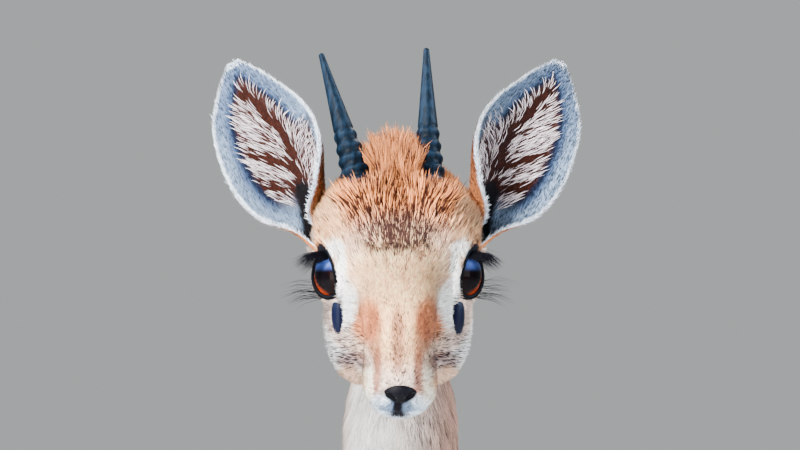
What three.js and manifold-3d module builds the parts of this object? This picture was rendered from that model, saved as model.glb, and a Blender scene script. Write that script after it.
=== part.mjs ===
// A male dik-dik standing still and looking straight ahead, at life size.
// Millimetres, +Z up. The animal looks along -Y, so its left side is +X. The hooves stand on z = 0.
// Flesh is a field of rounded masses that melt into each other; each named part is a capsule
// whose surface is pushed out to where that field ends, and parts are then fitted with thin cuts.

import * as THREE from "three";
import { mergeVertices } from "three/addons/utils/BufferGeometryUtils.js";
import Module from "manifold-3d";

const wasm = await Module();
wasm.setup();
const { lerp, clamp, degToRad } = THREE.MathUtils;

// Driving sizes of the animal, hair included
const witherHeight = 385;
const chestDepth = 158;
const chestWidth = 104;
const trunkLength = 332;
const eyeHeight = 505;
const eyeForward = 208;
const headPitch = degToRad(38);
const headTurn = degToRad(1);
const eyeballRadius = 11;
const eyeSpread = 20;
const hornLength = 62;
const hornBaseRadius = 7;
const earLength = 77;
const seam = 0.3;

const vec = (x, y, z) => new THREE.Vector3(x, y, z);
// A place on the head, counted from the point midway between the eyes
const onHead = (across, forward, up) => vec(across, -forward, up);

// Rounded masses: each is a function that gives the distance from a point to its surface

function ball(centre, radii, pitch = 0) {
  const turn = new THREE.Matrix4().makeRotationX(-pitch);
  const local = vec();
  return (point) => {
    local.copy(point).sub(centre).applyMatrix4(turn);
    const near = local.clone().divide(radii).length();
    const far = local.clone().divide(radii).divide(radii).length();
    return far < 1e-9 ? -Math.min(radii.x, radii.y, radii.z) : (near * (near - 1)) / far;
  };
}

// A tapered length of flesh from a to b; flatness under 1 makes it narrower from side to side
function limb(a, b, radiusA, radiusB, flatness = 1) {
  const narrow = (p) => vec(p.x / flatness, p.y, p.z);
  const from = narrow(a);
  const span = narrow(b).sub(from);
  const reach = span.lengthSq();
  return (point) => {
    const local = narrow(point).sub(from);
    const share = clamp(local.dot(span) / reach, 0, 1);
    return local.addScaledVector(span, -share).length() - lerp(radiusA, radiusB, share);
  };
}

function blend(softness, ...masses) {
  return (point) => {
    let nearest = masses[0](point);
    for (const mass of masses.slice(1)) {
      const other = mass(point);
      const overlap = Math.max(softness - Math.abs(nearest - other), 0) / softness;
      nearest = Math.min(nearest, other) - (overlap * overlap * softness) / 4;
    }
    return nearest;
  };
}

// The same mass on both sides of the animal
const bothSides = (mass) => (point) => mass(vec(Math.abs(point.x), point.y, point.z));

// A smooth curve through rows of [station, value], read at any station
function profile(rows) {
  const slope = (i) => {
    const [a, b] = [rows[Math.max(i - 1, 0)], rows[Math.min(i + 1, rows.length - 1)]];
    return (b[1] - a[1]) / (b[0] - a[0]);
  };
  return (station) => {
    const last = rows.length - 2;
    const found = rows.findIndex((row) => row[0] > station) - 1;
    const i = clamp(found < 0 && station >= rows[0][0] ? last : found, 0, last);
    const [[x0, y0], [x1, y1]] = [rows[i], rows[i + 1]];
    const width = x1 - x0;
    const s = clamp((station - x0) / width, 0, 1);
    const rise = y1 - y0;
    const [in0, in1] = [slope(i) * width - rise, rise - slope(i + 1) * width];
    return y0 + rise * s + s * (1 - s) * (in0 * (1 - s) + in1 * s);
  };
}

// Solids

function solidOf(geometry) {
  const bare = geometry.clone();
  for (const name of Object.keys(bare.attributes)) {
    if (name !== "position") bare.deleteAttribute(name);
  }
  const merged = mergeVertices(bare, 1e-4);
  return new wasm.Manifold(
    new wasm.Mesh({
      numProp: 3,
      vertProperties: merged.attributes.position.array,
      triVerts: new Uint32Array(merged.index.array),
    }),
  );
}

// The largest closed surface of a solid, as a three.js geometry
function geometryOf(solid) {
  const pieces = solid.decompose();
  const largest = pieces.reduce((a, b) => (b.volume() > a.volume() ? b : a));
  const { vertProperties, triVerts } = largest.getMesh();
  const geometry = new THREE.BufferGeometry();
  geometry.setAttribute("position", new THREE.BufferAttribute(vertProperties, 3));
  geometry.setIndex(new THREE.BufferAttribute(triVerts, 1));
  geometry.computeVertexNormals();
  return geometry;
}

// Pushes a capsule's surface out from an axis to where the field is no longer flesh.
// grow leaves the surface that far outside the flesh.
function wrap(field, axisPoints, { around, along, cap = 3, grow = 0 }) {
  const axis = new THREE.CatmullRomCurve3(axisPoints);
  const geometry = new THREE.CapsuleGeometry(1, 1, cap, around, along);
  const { position, normal, uv } = geometry.attributes;
  const side = vec(1, 0, 0);
  const step = 1.5;
  for (let i = 0; i < position.count; i++) {
    const share = clamp(position.getY(i) + 0.5, 0, 1);
    const origin = axis.getPointAt(share);
    const tangent = axis.getTangentAt(share);
    const across = side.clone().addScaledVector(tangent, -side.dot(tangent)).normalize();
    const up = across.clone().cross(tangent);
    const pole = Math.abs(normal.getY(i)) > 0.9999;
    const lastColumn = uv.getX(i) === 1;
    const direction = across
      .multiplyScalar(pole ? 0 : normal.getX(i))
      .addScaledVector(tangent, normal.getY(i))
      .addScaledVector(up, pole || lastColumn ? 0 : normal.getZ(i))
      .normalize();
    const point = origin.clone();
    let [inside, outside] = [0, step];
    while (field(point.copy(origin).addScaledVector(direction, outside)) < grow) {
      inside = outside;
      outside += step;
      if (outside > 400) throw new Error("the axis leaves the flesh open");
    }
    for (let halving = 0; halving < 12; halving++) {
      const middle = (inside + outside) / 2;
      const flesh = field(point.copy(origin).addScaledVector(direction, middle)) < grow;
      [inside, outside] = flesh ? [middle, outside] : [inside, middle];
    }
    position.setXYZ(i, ...point.copy(origin).addScaledVector(direction, inside));
  }
  return solidOf(geometry);
}

function egg(centre, radii, around = 16, rings = 10, pitch = 0) {
  const geometry = new THREE.SphereGeometry(1, around, rings);
  geometry.scale(radii.x, radii.y, radii.z).rotateX(pitch);
  return solidOf(geometry.translate(centre.x, centre.y, centre.z));
}

// A flat, tapered lock of hair that leaves its root along one direction and bends towards another
function lock(root, direction, flatFacing, { length, width, thickness, bend, sunk = 2 }) {
  const geometry = new THREE.CylinderGeometry(0.16, 1, 1, 5, 3);
  const { position } = geometry.attributes;
  const axis = direction.clone().normalize();
  const across = axis.clone().cross(flatFacing).normalize();
  const facing = across.clone().cross(axis);
  const point = vec();
  for (let i = 0; i < position.count; i++) {
    const share = position.getY(i) + 0.5;
    const belly = 1 + 0.5 * Math.sin(Math.PI * Math.min(share * 1.6, 1));
    point.copy(root).addScaledVector(axis, lerp(-sunk, length, share));
    point.addScaledVector(across, (position.getX(i) * belly * width) / 2);
    point.addScaledVector(facing, (position.getZ(i) * thickness) / 2 + bend * share * share);
    position.setXYZ(i, ...point);
  }
  return solidOf(geometry);
}

// A seeded draw, so that the locks vary but are the same each time
function drawFrom(seed) {
  let state = seed;
  return () => {
    state = (state * 1664525 + 1013904223) % 4294967296;
    return state / 4294967296;
  };
}

const materials = {
  fawn: new THREE.MeshStandardMaterial({ color: 0xb9906b, roughness: 0.9 }),
  grizzled: new THREE.MeshStandardMaterial({ color: 0x8f8172, roughness: 0.95 }),
  tawny: new THREE.MeshStandardMaterial({ color: 0xc08552, roughness: 0.9 }),
  earHair: new THREE.MeshStandardMaterial({ color: 0xb8b4b2, roughness: 0.95 }),
  horn: new THREE.MeshStandardMaterial({ color: 0x2f3540, roughness: 0.5 }),
  hoof: new THREE.MeshStandardMaterial({ color: 0x2a2522, roughness: 0.45 }),
  eye: new THREE.MeshStandardMaterial({ color: 0x120a08, roughness: 0.08 }),
  bareSkin: new THREE.MeshStandardMaterial({ color: 0x15151a, roughness: 0.35 }),
};

const animal = new THREE.Group();
const headGroup = new THREE.Group();
headGroup.position.set(0, -eyeForward, eyeHeight);
headGroup.rotation.set(headPitch, 0, headTurn, "ZXY");
headGroup.updateMatrix();
animal.add(headGroup);

function addPart(parent, name, solid, material) {
  const mesh = new THREE.Mesh(geometryOf(solid), material);
  mesh.name = name;
  parent.add(mesh);
}

// Trunk: chest, shoulders, belly, rump and haunches, with stumps where neck and legs grow
const rumpHeight = witherHeight + 2;
const chestMiddle = witherHeight - chestDepth / 2;
const trunkRear = trunkLength / 2 + 10;
const trunkFront = trunkRear - trunkLength;

const trunkField = blend(
  34,
  ball(vec(0, -58, chestMiddle - 5), vec(chestWidth / 2 - 2, 92, chestDepth / 2 - 4)),
  ball(vec(0, -92, chestMiddle + 18), vec(chestWidth / 2 - 15, 44, chestDepth / 2 - 19)),
  ball(vec(0, trunkFront + 27, chestMiddle - 10), vec(25, 25, 44)),
  ball(vec(0, 38, chestMiddle + 11), vec(chestWidth / 2 - 5, 92, chestDepth / 2 - 14)),
  ball(vec(0, 108, rumpHeight - 61), vec(42, 58, 59)),
  bothSides(ball(vec(29, -98, chestMiddle - 8), vec(17, 34, 60), degToRad(-12))),
  bothSides(ball(vec(28, 110, rumpHeight - 98), vec(22, 46, 62), degToRad(-14))),
  limb(vec(0, -104, 335), vec(0, -136, 378), 40, 29, 0.85),
);
const trunkAxis = [vec(0, -100, 305), vec(0, -40, 308), vec(0, 40, 312), vec(0, 110, 318)];
const trunkSteps = { around: 30, along: 18, cap: 5 };
const torso = wrap(trunkField, trunkAxis, trunkSteps);
const torsoCut = wrap(trunkField, trunkAxis, { ...trunkSteps, grow: seam });
addPart(animal, "torso", torso, materials.grizzled);

// Head: skull, brow, nose, cheeks, lips and jaw
const headField = blend(
  9,
  ball(onHead(0, -18, 8), vec(30.6, 29, 19.5)),
  ball(onHead(0, -24, 20), vec(17, 17, 12)),
  ball(onHead(0, -32, -7), vec(22, 19.5, 20)),
  bothSides(ball(onHead(25.5, -29, -8), vec(8, 9, 9))),
  bothSides(ball(onHead(18, -3, 2), vec(11, 13, 13))),
  limb(onHead(0, -4, 7), onHead(0, 34, 4.5), 18.5, 12.5),
  limb(onHead(0, 30, 4), onHead(0, 58, -2), 11, 9.2),
  ball(onHead(0, 60, -3.5), vec(9, 8, 8)),
  bothSides(ball(onHead(6.4, 51, -7.5), vec(6.6, 13.5, 7.6), degToRad(8))),
  bothSides(ball(onHead(13.6, 1, -18), vec(13.4, 25, 21), degToRad(18))),
  bothSides(ball(onHead(13, 9, -24.5), vec(10.5, 17, 11), degToRad(10))),
  limb(onHead(0, 8, -20), onHead(0, 40, -14), 15, 9),
  limb(onHead(0, 28, -19), onHead(0, 55, -15.5), 8.5, 6),
);
const headAxis = [onHead(0, -28, 3), onHead(0, 5, -2), onHead(0, 30, -4), onHead(0, 53, -6.5)];
const headSteps = { around: 34, along: 22, cap: 5 };
const headFlesh = wrap(headField, headAxis, headSteps);
const headCut = wrap(headField, headAxis, { ...headSteps, grow: seam });
const headInBody = (solid) => {
  const geometry = geometryOf(solid).applyMatrix4(headGroup.matrix);
  return solidOf(geometry);
};

// The other side's copy of a solid
function mirrored(solid) {
  const geometry = geometryOf(solid).scale(-1, 1, 1);
  geometry.index.array.reverse();
  return solidOf(geometry);
}
const sides = { left: (solid) => solid, right: mirrored };

// Eyes: the ball looks out and a little forward, between lids that hug it
const eyeCentre = onHead(eyeSpread, 0, 0);
const gaze = onHead(0.835, 0.433, 0.339).normalize();
const lidThickness = 1.2;
// Half angles of the opening between the lids, seen from the middle of the eye
const eyeOpening = { front: 51, back: 56, upper: 39, lower: 41, tilt: 8 };

// A cone with an almond-shaped section that spreads from the middle of the eye
function eyeOpeningCone() {
  const { front, back, upper, lower, tilt } = eyeOpening;
  const spread = (angle) => Math.tan(degToRad(angle));
  const arch = 4 / 3;
  const almond = new THREE.Shape();
  almond.moveTo(-spread(front), -0.1);
  almond.bezierCurveTo(
    -spread(front) * 0.6, spread(upper) * arch,
    spread(back) * 0.6, spread(upper) * arch,
    spread(back), 0.1,
  );
  almond.bezierCurveTo(
    spread(back) * 0.6, -spread(lower) * arch,
    -spread(front) * 0.6, -spread(lower) * arch,
    -spread(front), -0.1,
  );
  const geometry = new THREE.ExtrudeGeometry(almond, {
    depth: 1,
    bevelEnabled: false,
    curveSegments: 6,
  });
  const reach = { near: 0.4, far: 18 };
  const { position } = geometry.attributes;
  for (let i = 0; i < position.count; i++) {
    const depth = position.getZ(i) > 0.5 ? reach.far : reach.near;
    position.setXYZ(i, position.getX(i) * depth, position.getY(i) * depth, depth);
  }
  const backwards = onHead(0, -1, 0);
  backwards.addScaledVector(gaze, -backwards.dot(gaze)).normalize();
  const up = gaze.clone().cross(backwards);
  geometry.rotateZ(degToRad(tilt)).applyMatrix4(new THREE.Matrix4().makeBasis(backwards, up, gaze));
  return solidOf(geometry.translate(eyeCentre.x, eyeCentre.y, eyeCentre.z));
}

const eyeballSize = vec(1, 1, 1).multiplyScalar(eyeballRadius);
const eyeball = egg(eyeCentre, eyeballSize, 18, 11);
const socketSize = eyeballSize.clone().addScalar(seam);
const socket = egg(eyeCentre, socketSize, 18, 11);
const lidSize = socketSize.clone().addScalar(lidThickness);
const lids = egg(eyeCentre, lidSize, 18, 11);
const opening = eyeOpeningCone();

// Scent gland: a bare dark slit on the cheek, just in front of the eye
const glandCentre = onHead(23, 15.5, -9.5);
const glandSize = vec(5, 2.9, 5);
const glandTilt = degToRad(-38);
const gland = egg(glandCentre, glandSize, 14, 9, glandTilt);
const glandPit = egg(glandCentre, glandSize.clone().addScalar(seam), 14, 9, glandTilt);

// Nose pad with its two nostrils
const nosePadCentre = onHead(0, 66.5, -0.2);
const nosePadSize = vec(6.6, 5, 4.6);
const nosePad = egg(nosePadCentre, nosePadSize, 16, 8);
const nosePit = egg(nosePadCentre, nosePadSize.clone().addScalar(seam), 16, 8);
const nostril = egg(onHead(4.2, 70.5, -0.6), vec(1.8, 4.2, 1.8), 10, 6);
const philtrum = egg(onHead(0, 70, -5), vec(0.7, 2.6, 4), 8, 6);

// The line of the mouth, a thin slanting slot that follows the lips back to the cheek
function mouthSlot() {
  const shape = new THREE.Shape();
  shape.moveTo(72, -12.4);
  shape.quadraticCurveTo(50, -13.2, 34, -14.2);
  shape.lineTo(34, -13.5);
  shape.quadraticCurveTo(50, -12.2, 72, -11.2);
  const geometry = new THREE.ExtrudeGeometry(shape, {
    depth: 40,
    bevelEnabled: false,
    curveSegments: 5,
  });
  const basis = new THREE.Matrix4().makeBasis(onHead(0, 1, 0), vec(0, 0, 1), vec(-1, 0, 0));
  return solidOf(geometry.applyMatrix4(basis).translate(20, 0, 0));
}
const lipDepth = 1.3;
const underLips = wrap(headField, headAxis, { ...headSteps, grow: -lipDepth });

// Crown tuft: rows of locks between the horns that rise, lean back and fan out
const tuft = { rows: 5, perRow: 5, halfWidth: 14, front: -2, back: -30, length: 12 };
function crownLocks() {
  const draw = drawFrom(7);
  const made = [];
  for (let row = 0; row < tuft.rows; row++) {
    for (let n = 0; n < tuft.perRow; n++) {
      const share = (n + 0.5 * (row % 2) + 0.25) / tuft.perRow;
      const across = lerp(-tuft.halfWidth, tuft.halfWidth, share) + (draw() - 0.5) * 1.5;
      const forward = lerp(tuft.front, tuft.back, row / (tuft.rows - 1)) + (draw() - 0.5) * 2;
      const root = onHead(across, forward, 40);
      while (headField(root) > -1) root.z -= 0.5;
      const lean = onHead(across * 0.03, -0.62 + row * 0.05, 1);
      const size = {
        length: tuft.length * (0.8 + 0.35 * draw()) * (row < 1 ? 0.7 : 1),
        width: 7,
        thickness: 2.4,
        bend: 2 * (draw() - 0.3),
        sunk: 3,
      };
      made.push(lock(root, lean, onHead(0, 1, 0.4), size));
    }
  }
  return made;
}

// Horns: tapered spikes with rings on the lower part, leaning back from the brow
const horns = {
  left: { root: onHead(11.6, -17, 20), lean: -0.01 },
  right: { root: onHead(-12, -17, 20), lean: -0.27 },
};
const hornRings = { count: 5, first: 8, pitch: 5, height: 0.75 };
const hornSunk = 6;

function horn({ root, lean }, grow = 0) {
  const outline = [new THREE.Vector2(0, -hornSunk - grow)];
  const radiusAt = (z) => hornBaseRadius * (1 - 0.86 * Math.pow(Math.max(z, 0) / hornLength, 0.9));
  const levels = [-hornSunk];
  for (let ring = 0; ring < hornRings.count; ring++) {
    const foot = hornRings.first + ring * hornRings.pitch;
    levels.push(foot, foot + hornRings.pitch * 0.35, foot + hornRings.pitch * 0.7);
  }
  levels.push(38, 46, 54, hornLength - 1);
  for (const z of levels) {
    const share = (z - hornRings.first) / hornRings.pitch;
    const ridge = Math.abs((share % 1) - 0.35) < 0.01 && share < hornRings.count;
    const fade = 1 - Math.max(share, 0) / (hornRings.count * 1.3);
    outline.push(new THREE.Vector2(radiusAt(z) + (ridge ? hornRings.height * fade : 0), z));
  }
  for (const corner of outline.slice(1)) corner.x += grow;
  outline.push(new THREE.Vector2(0, hornLength + grow));
  const geometry = new THREE.LatheGeometry(outline, 12).rotateX(Math.PI / 2);
  const { position } = geometry.attributes;
  for (let i = 0; i < position.count; i++) {
    const rise = position.getZ(i) / hornLength;
    position.setY(i, position.getY(i) * 1.08 - 2.2 * rise * rise);
  }
  const axis = onHead(lean, -0.86, 0.5).normalize();
  const turn = new THREE.Quaternion().setFromUnitVectors(vec(0, 0, 1), axis);
  return solidOf(geometry.applyQuaternion(turn).translate(root.x, root.y, root.z));
}

// Ears: a cupped leaf, rolled into a tube at its root
const ear = {
  root: onHead(28, -28, -11),
  outline: profile([
    [0, 6.5],
    [0.14, 7.4],
    [0.29, 15.7],
    [0.48, 20.2],
    [0.72, 17.8],
    [0.9, 10],
    [1, 3.2],
  ]),
  roll: profile([[0, 2.6], [0.14, 2.2], [0.3, 1.35], [0.55, 0.85], [0.8, 0.55], [1, 0.35]]),
  // The edge nearest the horns curls forward more than the outer one
  curl: profile([[0, 1], [0.2, 1.25], [0.4, 1.38], [0.6, 1.28], [0.8, 1.1], [1, 1]]),
  bow: profile([[0, -7], [0.14, -2.5], [0.3, -1], [0.5, -1], [0.8, 1], [1, 1]]),
  thickness: 2.1,
};

function earPoint(across, along, depth) {
  const roll = ear.roll(along);
  const radius = ear.outline(along) / Math.sin(Math.min(roll, Math.PI / 2));
  const angle = across * roll * (across < 0 ? ear.curl(along) : 1);
  const reach = radius - depth * ear.thickness * (1 - 0.35 * Math.abs(across) ** 3);
  return vec(
    reach * Math.sin(angle) + ear.bow(along),
    reach * Math.cos(angle) - radius,
    along * earLength,
  );
}

// From the ear's own frame, where the cup opens along -Y, to its place on the left of the head
const earTurn = new THREE.Matrix4()
  .makeTranslation(ear.root)
  .multiply(new THREE.Matrix4().makeRotationX(-headPitch - degToRad(4)))
  .multiply(new THREE.Matrix4().makeRotationY(degToRad(24)))
  .multiply(new THREE.Matrix4().makeRotationZ(degToRad(22)));

function earShell() {
  const geometry = new THREE.BoxGeometry(1, 1, 1, 10, 12, 1);
  const { position } = geometry.attributes;
  for (let i = 0; i < position.count; i++) {
    const [x, y, z] = [position.getX(i), position.getY(i), position.getZ(i)];
    position.setXYZ(i, ...earPoint(2 * x, y + 0.5, z + 0.5));
  }
  return solidOf(geometry.applyMatrix4(earTurn));
}

// The head is put together: lids and locks added, then the slots and hollows taken out
let headSolid = wasm.Manifold.union([headFlesh, lids, mirrored(lids), ...crownLocks()]);
headSolid = headSolid.subtract(mouthSlot().subtract(underLips)).subtract(nosePit);
for (const [side, place] of Object.entries(sides)) {
  headSolid = headSolid.subtract(place(socket)).subtract(place(opening)).subtract(place(glandPit));
  headSolid = headSolid.subtract(horn(horns[side], seam));
}
addPart(headGroup, "head", headSolid, materials.tawny);

const proudOfSkin = wrap(headField, headAxis, { ...headSteps, grow: 0.5 });
const nostrils = nostril.add(mirrored(nostril));
const pad = nosePad.intersect(proudOfSkin).subtract(nostrils).subtract(philtrum);
addPart(headGroup, "nose_pad", pad, materials.bareSkin);

for (const [side, place] of Object.entries(sides)) {
  addPart(headGroup, `eye_${side}`, place(eyeball), materials.eye);
  addPart(headGroup, `gland_${side}`, place(gland).intersect(proudOfSkin), materials.bareSkin);
  addPart(headGroup, `horn_${side}`, horn(horns[side]), materials.horn);
  addPart(headGroup, `ear_${side}`, place(earShell()).subtract(headCut), materials.earHair);
}

// Neck: full at the chest, narrower under the throat, rising to the back of the skull
const neckRows = [
  [0, -102, 338, 48],
  [0, -138, 388, 34],
  [1, -157, 445, 25],
  [1.5, -164, 492, 22.5],
  [1, -175, 517, 19],
];
const neckFlatness = 0.85;

// A string of rounded masses through rows of [x, y, z, radius]
function chain(softness, rows, flatness = 1) {
  const pieces = rows.slice(1).map((row, i) => {
    const [from, to] = [rows[i], row];
    return limb(vec(...from), vec(...to), from[3], to[3], flatness);
  });
  return blend(softness, ...pieces);
}
const axisThrough = (rows) => rows.map((row) => vec(...row));
const neckSteps = { around: 20, along: 12, cap: 3 };
const neckFlesh = wrap(chain(12, neckRows, neckFlatness), axisThrough(neckRows), neckSteps);
const neck = neckFlesh.subtract(torsoCut).subtract(headInBody(headCut));
addPart(animal, "neck", neck, materials.fawn);

// Tail: a short tapered stub that hangs behind the rump
const tailRows = [[0, 157, 346, 11], [0, 172, 332, 9.5], [0, 179, 306, 5.5]];
const tail = wrap(chain(6, tailRows), axisThrough(tailRows), { around: 12, along: 6, cap: 3 });
addPart(animal, "tail", tail.subtract(torsoCut), materials.fawn);

// Legs of the left side, in rows of [x, y, z, radius]; joints are [x, y, z, radii]
const legs = {
  fore: {
    names: { upper: "forearm", lower: "cannon" },
    upper: [[36, -90, 245, 21], [35, -98, 185, 11.5], [33, -102, 128, 8]],
    back: [[33, -76, 256, 17], [35, -88, 215, 12], [35, -97, 180, 9]],
    upperKnobs: [[33, -102, 126, 8.5, 9.5, 13]],
    lower: [[33, -102, 119, 6.6], [33, -104, 45, 5.4], [33, -105, 36, 6], [33, -113, 16, 6.4]],
    lowerKnobs: [[33, -104, 38, 7.2, 8, 9]],
    stride: { left: 0, right: 8 },
  },
  hind: {
    names: { upper: "thigh", lower: "cannon" },
    upper: [[30, 102, 280, 38], [34, 88, 236, 27], [36, 132, 150, 10]],
    back: [[30, 126, 282, 30], [35, 128, 208, 14], [36, 134, 150, 9]],
    flatness: 0.78,
    upperKnobs: [[36, 138, 140, 8, 11, 13], [36, 148, 150, 5, 6, 8]],
    lower: [[36, 137, 133, 7], [36, 126, 48, 5.8], [36, 124, 38, 6.2], [36, 115, 16, 6.6]],
    lowerKnobs: [[36, 125, 40, 7.4, 8.5, 9.5]],
    stride: { left: 0, right: -14 },
  },
};
const legTop = 245;
const upperSteps = { around: 14, along: 9, cap: 3 };
const lowerSteps = { around: 12, along: 11, cap: 2 };

// Hooves: two narrow pointed claws side by side, each flat below and sloping at the front
const hoofSize = { length: 22, width: 7.2, height: 15, gap: 0.5, slope: 5, ahead: 3.5 };
function hoof(ankle, inOrOut) {
  const geometry = new THREE.CylinderGeometry(0.8, 1, hoofSize.height, 10, 2);
  geometry.translate(0, hoofSize.height / 2, 0).rotateX(Math.PI / 2);
  const { position } = geometry.attributes;
  const half = hoofSize.width / 2;
  for (let i = 0; i < position.count; i++) {
    const [x, y, z] = [position.getX(i), position.getY(i), position.getZ(i)];
    const toe = Math.max(-y, 0);
    const width = half * (1 - 0.5 * toe * toe);
    const inward = inOrOut * (half + hoofSize.gap / 2);
    position.setX(i, ankle.x + inward + x * width - inOrOut * toe * toe * 0.8);
    position.setY(i, ankle.y - hoofSize.ahead + (y * hoofSize.length) / 2 + (z / hoofSize.height) * hoofSize.slope);
    position.setZ(i, z);
  }
  return solidOf(geometry);
}

function buildLeg({ upper, back, upperKnobs, lower, lowerKnobs, flatness }, stride, place) {
  const step = ([x, y, z, ...sizes]) => [x, y - stride * (1 - clamp(z / legTop, 0, 1)), z, ...sizes];
  const knob = ([x, y, z, ...radii]) => ball(vec(x, y, z), vec(...radii));
  const upperRows = upper.map(step);
  const lowerRows = lower.map(step);
  const muscles = [chain(7, upperRows, flatness), chain(7, back.map(step), flatness)];
  const upperField = blend(9, ...muscles, ...upperKnobs.map(step).map(knob));
  const lowerField = blend(4, chain(4, lowerRows), ...lowerKnobs.map(step).map(knob));
  const upperFlesh = wrap(upperField, axisThrough(upperRows), upperSteps);
  const upperCut = wrap(upperField, axisThrough(upperRows), { ...upperSteps, grow: seam });
  const lowerFlesh = wrap(lowerField, axisThrough(lowerRows), lowerSteps);
  const lowerCut = wrap(lowerField, axisThrough(lowerRows), { ...lowerSteps, grow: seam });
  const ankle = vec(...lowerRows.at(-1));
  const fetlock = vec(...lowerRows.at(-2));
  const dewclaw = (inOrOut) => egg(
    vec(fetlock.x + 5 * inOrOut, fetlock.y + 7.5, fetlock.z - 3),
    vec(2.8, 3, 4.6),
    7,
    5,
  );
  return {
    upper: place(upperFlesh).subtract(torsoCut),
    lower: place(lowerFlesh.subtract(upperCut)),
    hoof_inner: place(hoof(ankle, -1).subtract(lowerCut)),
    hoof_outer: place(hoof(ankle, 1).subtract(lowerCut)),
    dewclaw_inner: place(dewclaw(-1).subtract(lowerCut)),
    dewclaw_outer: place(dewclaw(1).subtract(lowerCut)),
  };
}

for (const [end, design] of Object.entries(legs)) {
  for (const [side, place] of Object.entries(sides)) {
    const solids = buildLeg(design, design.stride[side], place);
    for (const [name, solid] of Object.entries(solids)) {
      const material = /hoof|dewclaw/.test(name) ? materials.hoof : materials.fawn;
      addPart(animal, `${end}_${side}_${design.names[name] ?? name}`, solid, material);
    }
  }
}

// The whole stands with its bounding box centred over the origin
const part = new THREE.Group();
part.add(animal);
const box = new THREE.Box3().setFromObject(animal, true);
const middle = box.getCenter(vec());
animal.position.set(-middle.x, -middle.y, -box.min.z);

export default part;
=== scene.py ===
import math

import bmesh
import bpy
import numpy as np
from mathutils import Matrix, Vector
from mathutils.bvhtree import BVHTree


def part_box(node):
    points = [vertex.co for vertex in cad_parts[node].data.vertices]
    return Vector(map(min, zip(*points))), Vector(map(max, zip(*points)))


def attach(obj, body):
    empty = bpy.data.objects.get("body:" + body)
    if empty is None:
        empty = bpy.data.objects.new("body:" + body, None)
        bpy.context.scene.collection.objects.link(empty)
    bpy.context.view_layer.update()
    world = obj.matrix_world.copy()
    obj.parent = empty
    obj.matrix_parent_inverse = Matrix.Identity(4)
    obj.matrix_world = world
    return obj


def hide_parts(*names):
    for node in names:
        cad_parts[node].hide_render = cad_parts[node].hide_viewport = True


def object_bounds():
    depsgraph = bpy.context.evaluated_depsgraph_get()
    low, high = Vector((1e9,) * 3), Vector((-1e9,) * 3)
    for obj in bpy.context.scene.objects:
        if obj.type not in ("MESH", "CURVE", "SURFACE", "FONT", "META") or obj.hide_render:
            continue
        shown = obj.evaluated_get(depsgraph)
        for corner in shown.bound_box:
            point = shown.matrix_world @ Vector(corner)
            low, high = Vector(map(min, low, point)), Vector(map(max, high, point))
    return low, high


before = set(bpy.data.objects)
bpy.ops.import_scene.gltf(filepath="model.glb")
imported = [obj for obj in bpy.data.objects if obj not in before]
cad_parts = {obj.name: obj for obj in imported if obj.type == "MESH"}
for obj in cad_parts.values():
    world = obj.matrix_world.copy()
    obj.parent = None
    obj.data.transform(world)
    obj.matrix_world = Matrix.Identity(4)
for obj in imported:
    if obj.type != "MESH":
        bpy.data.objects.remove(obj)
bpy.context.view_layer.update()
SEED = 11
random = np.random.default_rng(SEED)
MM = 0.001
SIDES = {"left": 1, "right": -1}


def placed(name, data):
    """A new object for some data, in the scene's collection."""
    made = bpy.data.objects.new(name, data)
    bpy.context.scene.collection.objects.link(made)
    return made


# Camera: level with the eyes and far off, as a long lens sees the face
PHOTO_SIZE = (800, 450)
FACE_PIXEL = (398, 275)
MM_PER_PIXEL = 0.37
CAMERA_DISTANCE = 3.0
SENSOR_WIDTH = 36
VIEW_DEPTH = 60
eye_corners = [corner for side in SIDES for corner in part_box(f"eye_{side}")]
eye_middle = sum(eye_corners, Vector()) / len(eye_corners)
lens_data = bpy.data.cameras.new("long_lens")
lens_data.sensor_width = SENSOR_WIDTH
lens_data.lens = SENSOR_WIDTH * CAMERA_DISTANCE / (PHOTO_SIZE[0] * MM_PER_PIXEL * MM)
lens_data.clip_end = VIEW_DEPTH
camera = placed("camera", lens_data)
to_right = (PHOTO_SIZE[0] / 2 - FACE_PIXEL[0]) * MM_PER_PIXEL * MM
to_top = (FACE_PIXEL[1] - PHOTO_SIZE[1] / 2) * MM_PER_PIXEL * MM
camera.location = eye_middle + Vector((to_right, -CAMERA_DISTANCE, to_top))
camera.rotation_euler = (math.radians(90), 0, 0)
bpy.context.scene.camera = camera

# Studio: an even pale sky and soft lights, two of which show only as glints in gloss
SKY_COLOUR = (0.86, 0.89, 0.9, 1)
SKY_STRENGTH = 0.5
GLINT_BLUE = (0.5, 0.7, 1.0)

# Each light's place and size in metres, power in watts, colour and whether it lights more than gloss
LIGHTS = {
    "key_light": ((-1.0, -1.5, 1.8), 0.7, 300, (1.0, 0.98, 0.95), True),
    "fill_light": ((1.5, -1.2, 0.9), 1.2, 40, (0.93, 0.97, 1.0), True),
    "low_light": ((-1.3, -1.6, 0.35), 1.0, 60, (1.0, 0.99, 0.97), True),
    "rim_light": ((0.5, 1.5, 1.7), 0.8, 50, (1.0, 1.0, 1.0), True),
    "left_catchlight": ((1.44, 0.05, 1.5), 0.8, 170, GLINT_BLUE, False),
    "right_catchlight": ((-1.44, 0.05, 1.5), 0.8, 170, GLINT_BLUE, False),
}
for name, (place, size, power, colour, on_all) in LIGHTS.items():
    data = bpy.data.lights.new(name, "AREA")
    data.energy = power
    data.size = size
    data.color = colour
    lamp = placed(name, data)
    lamp.location = place
    lamp.visible_diffuse = on_all
    lamp.rotation_euler = (eye_middle - Vector(place)).to_track_quat("-Z", "Y").to_euler()
sky = bpy.data.worlds.new("pale_sky")
sky.use_nodes = True
background = sky.node_tree.nodes["Background"].inputs
background["Color"].default_value = SKY_COLOUR
background["Strength"].default_value = SKY_STRENGTH
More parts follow.
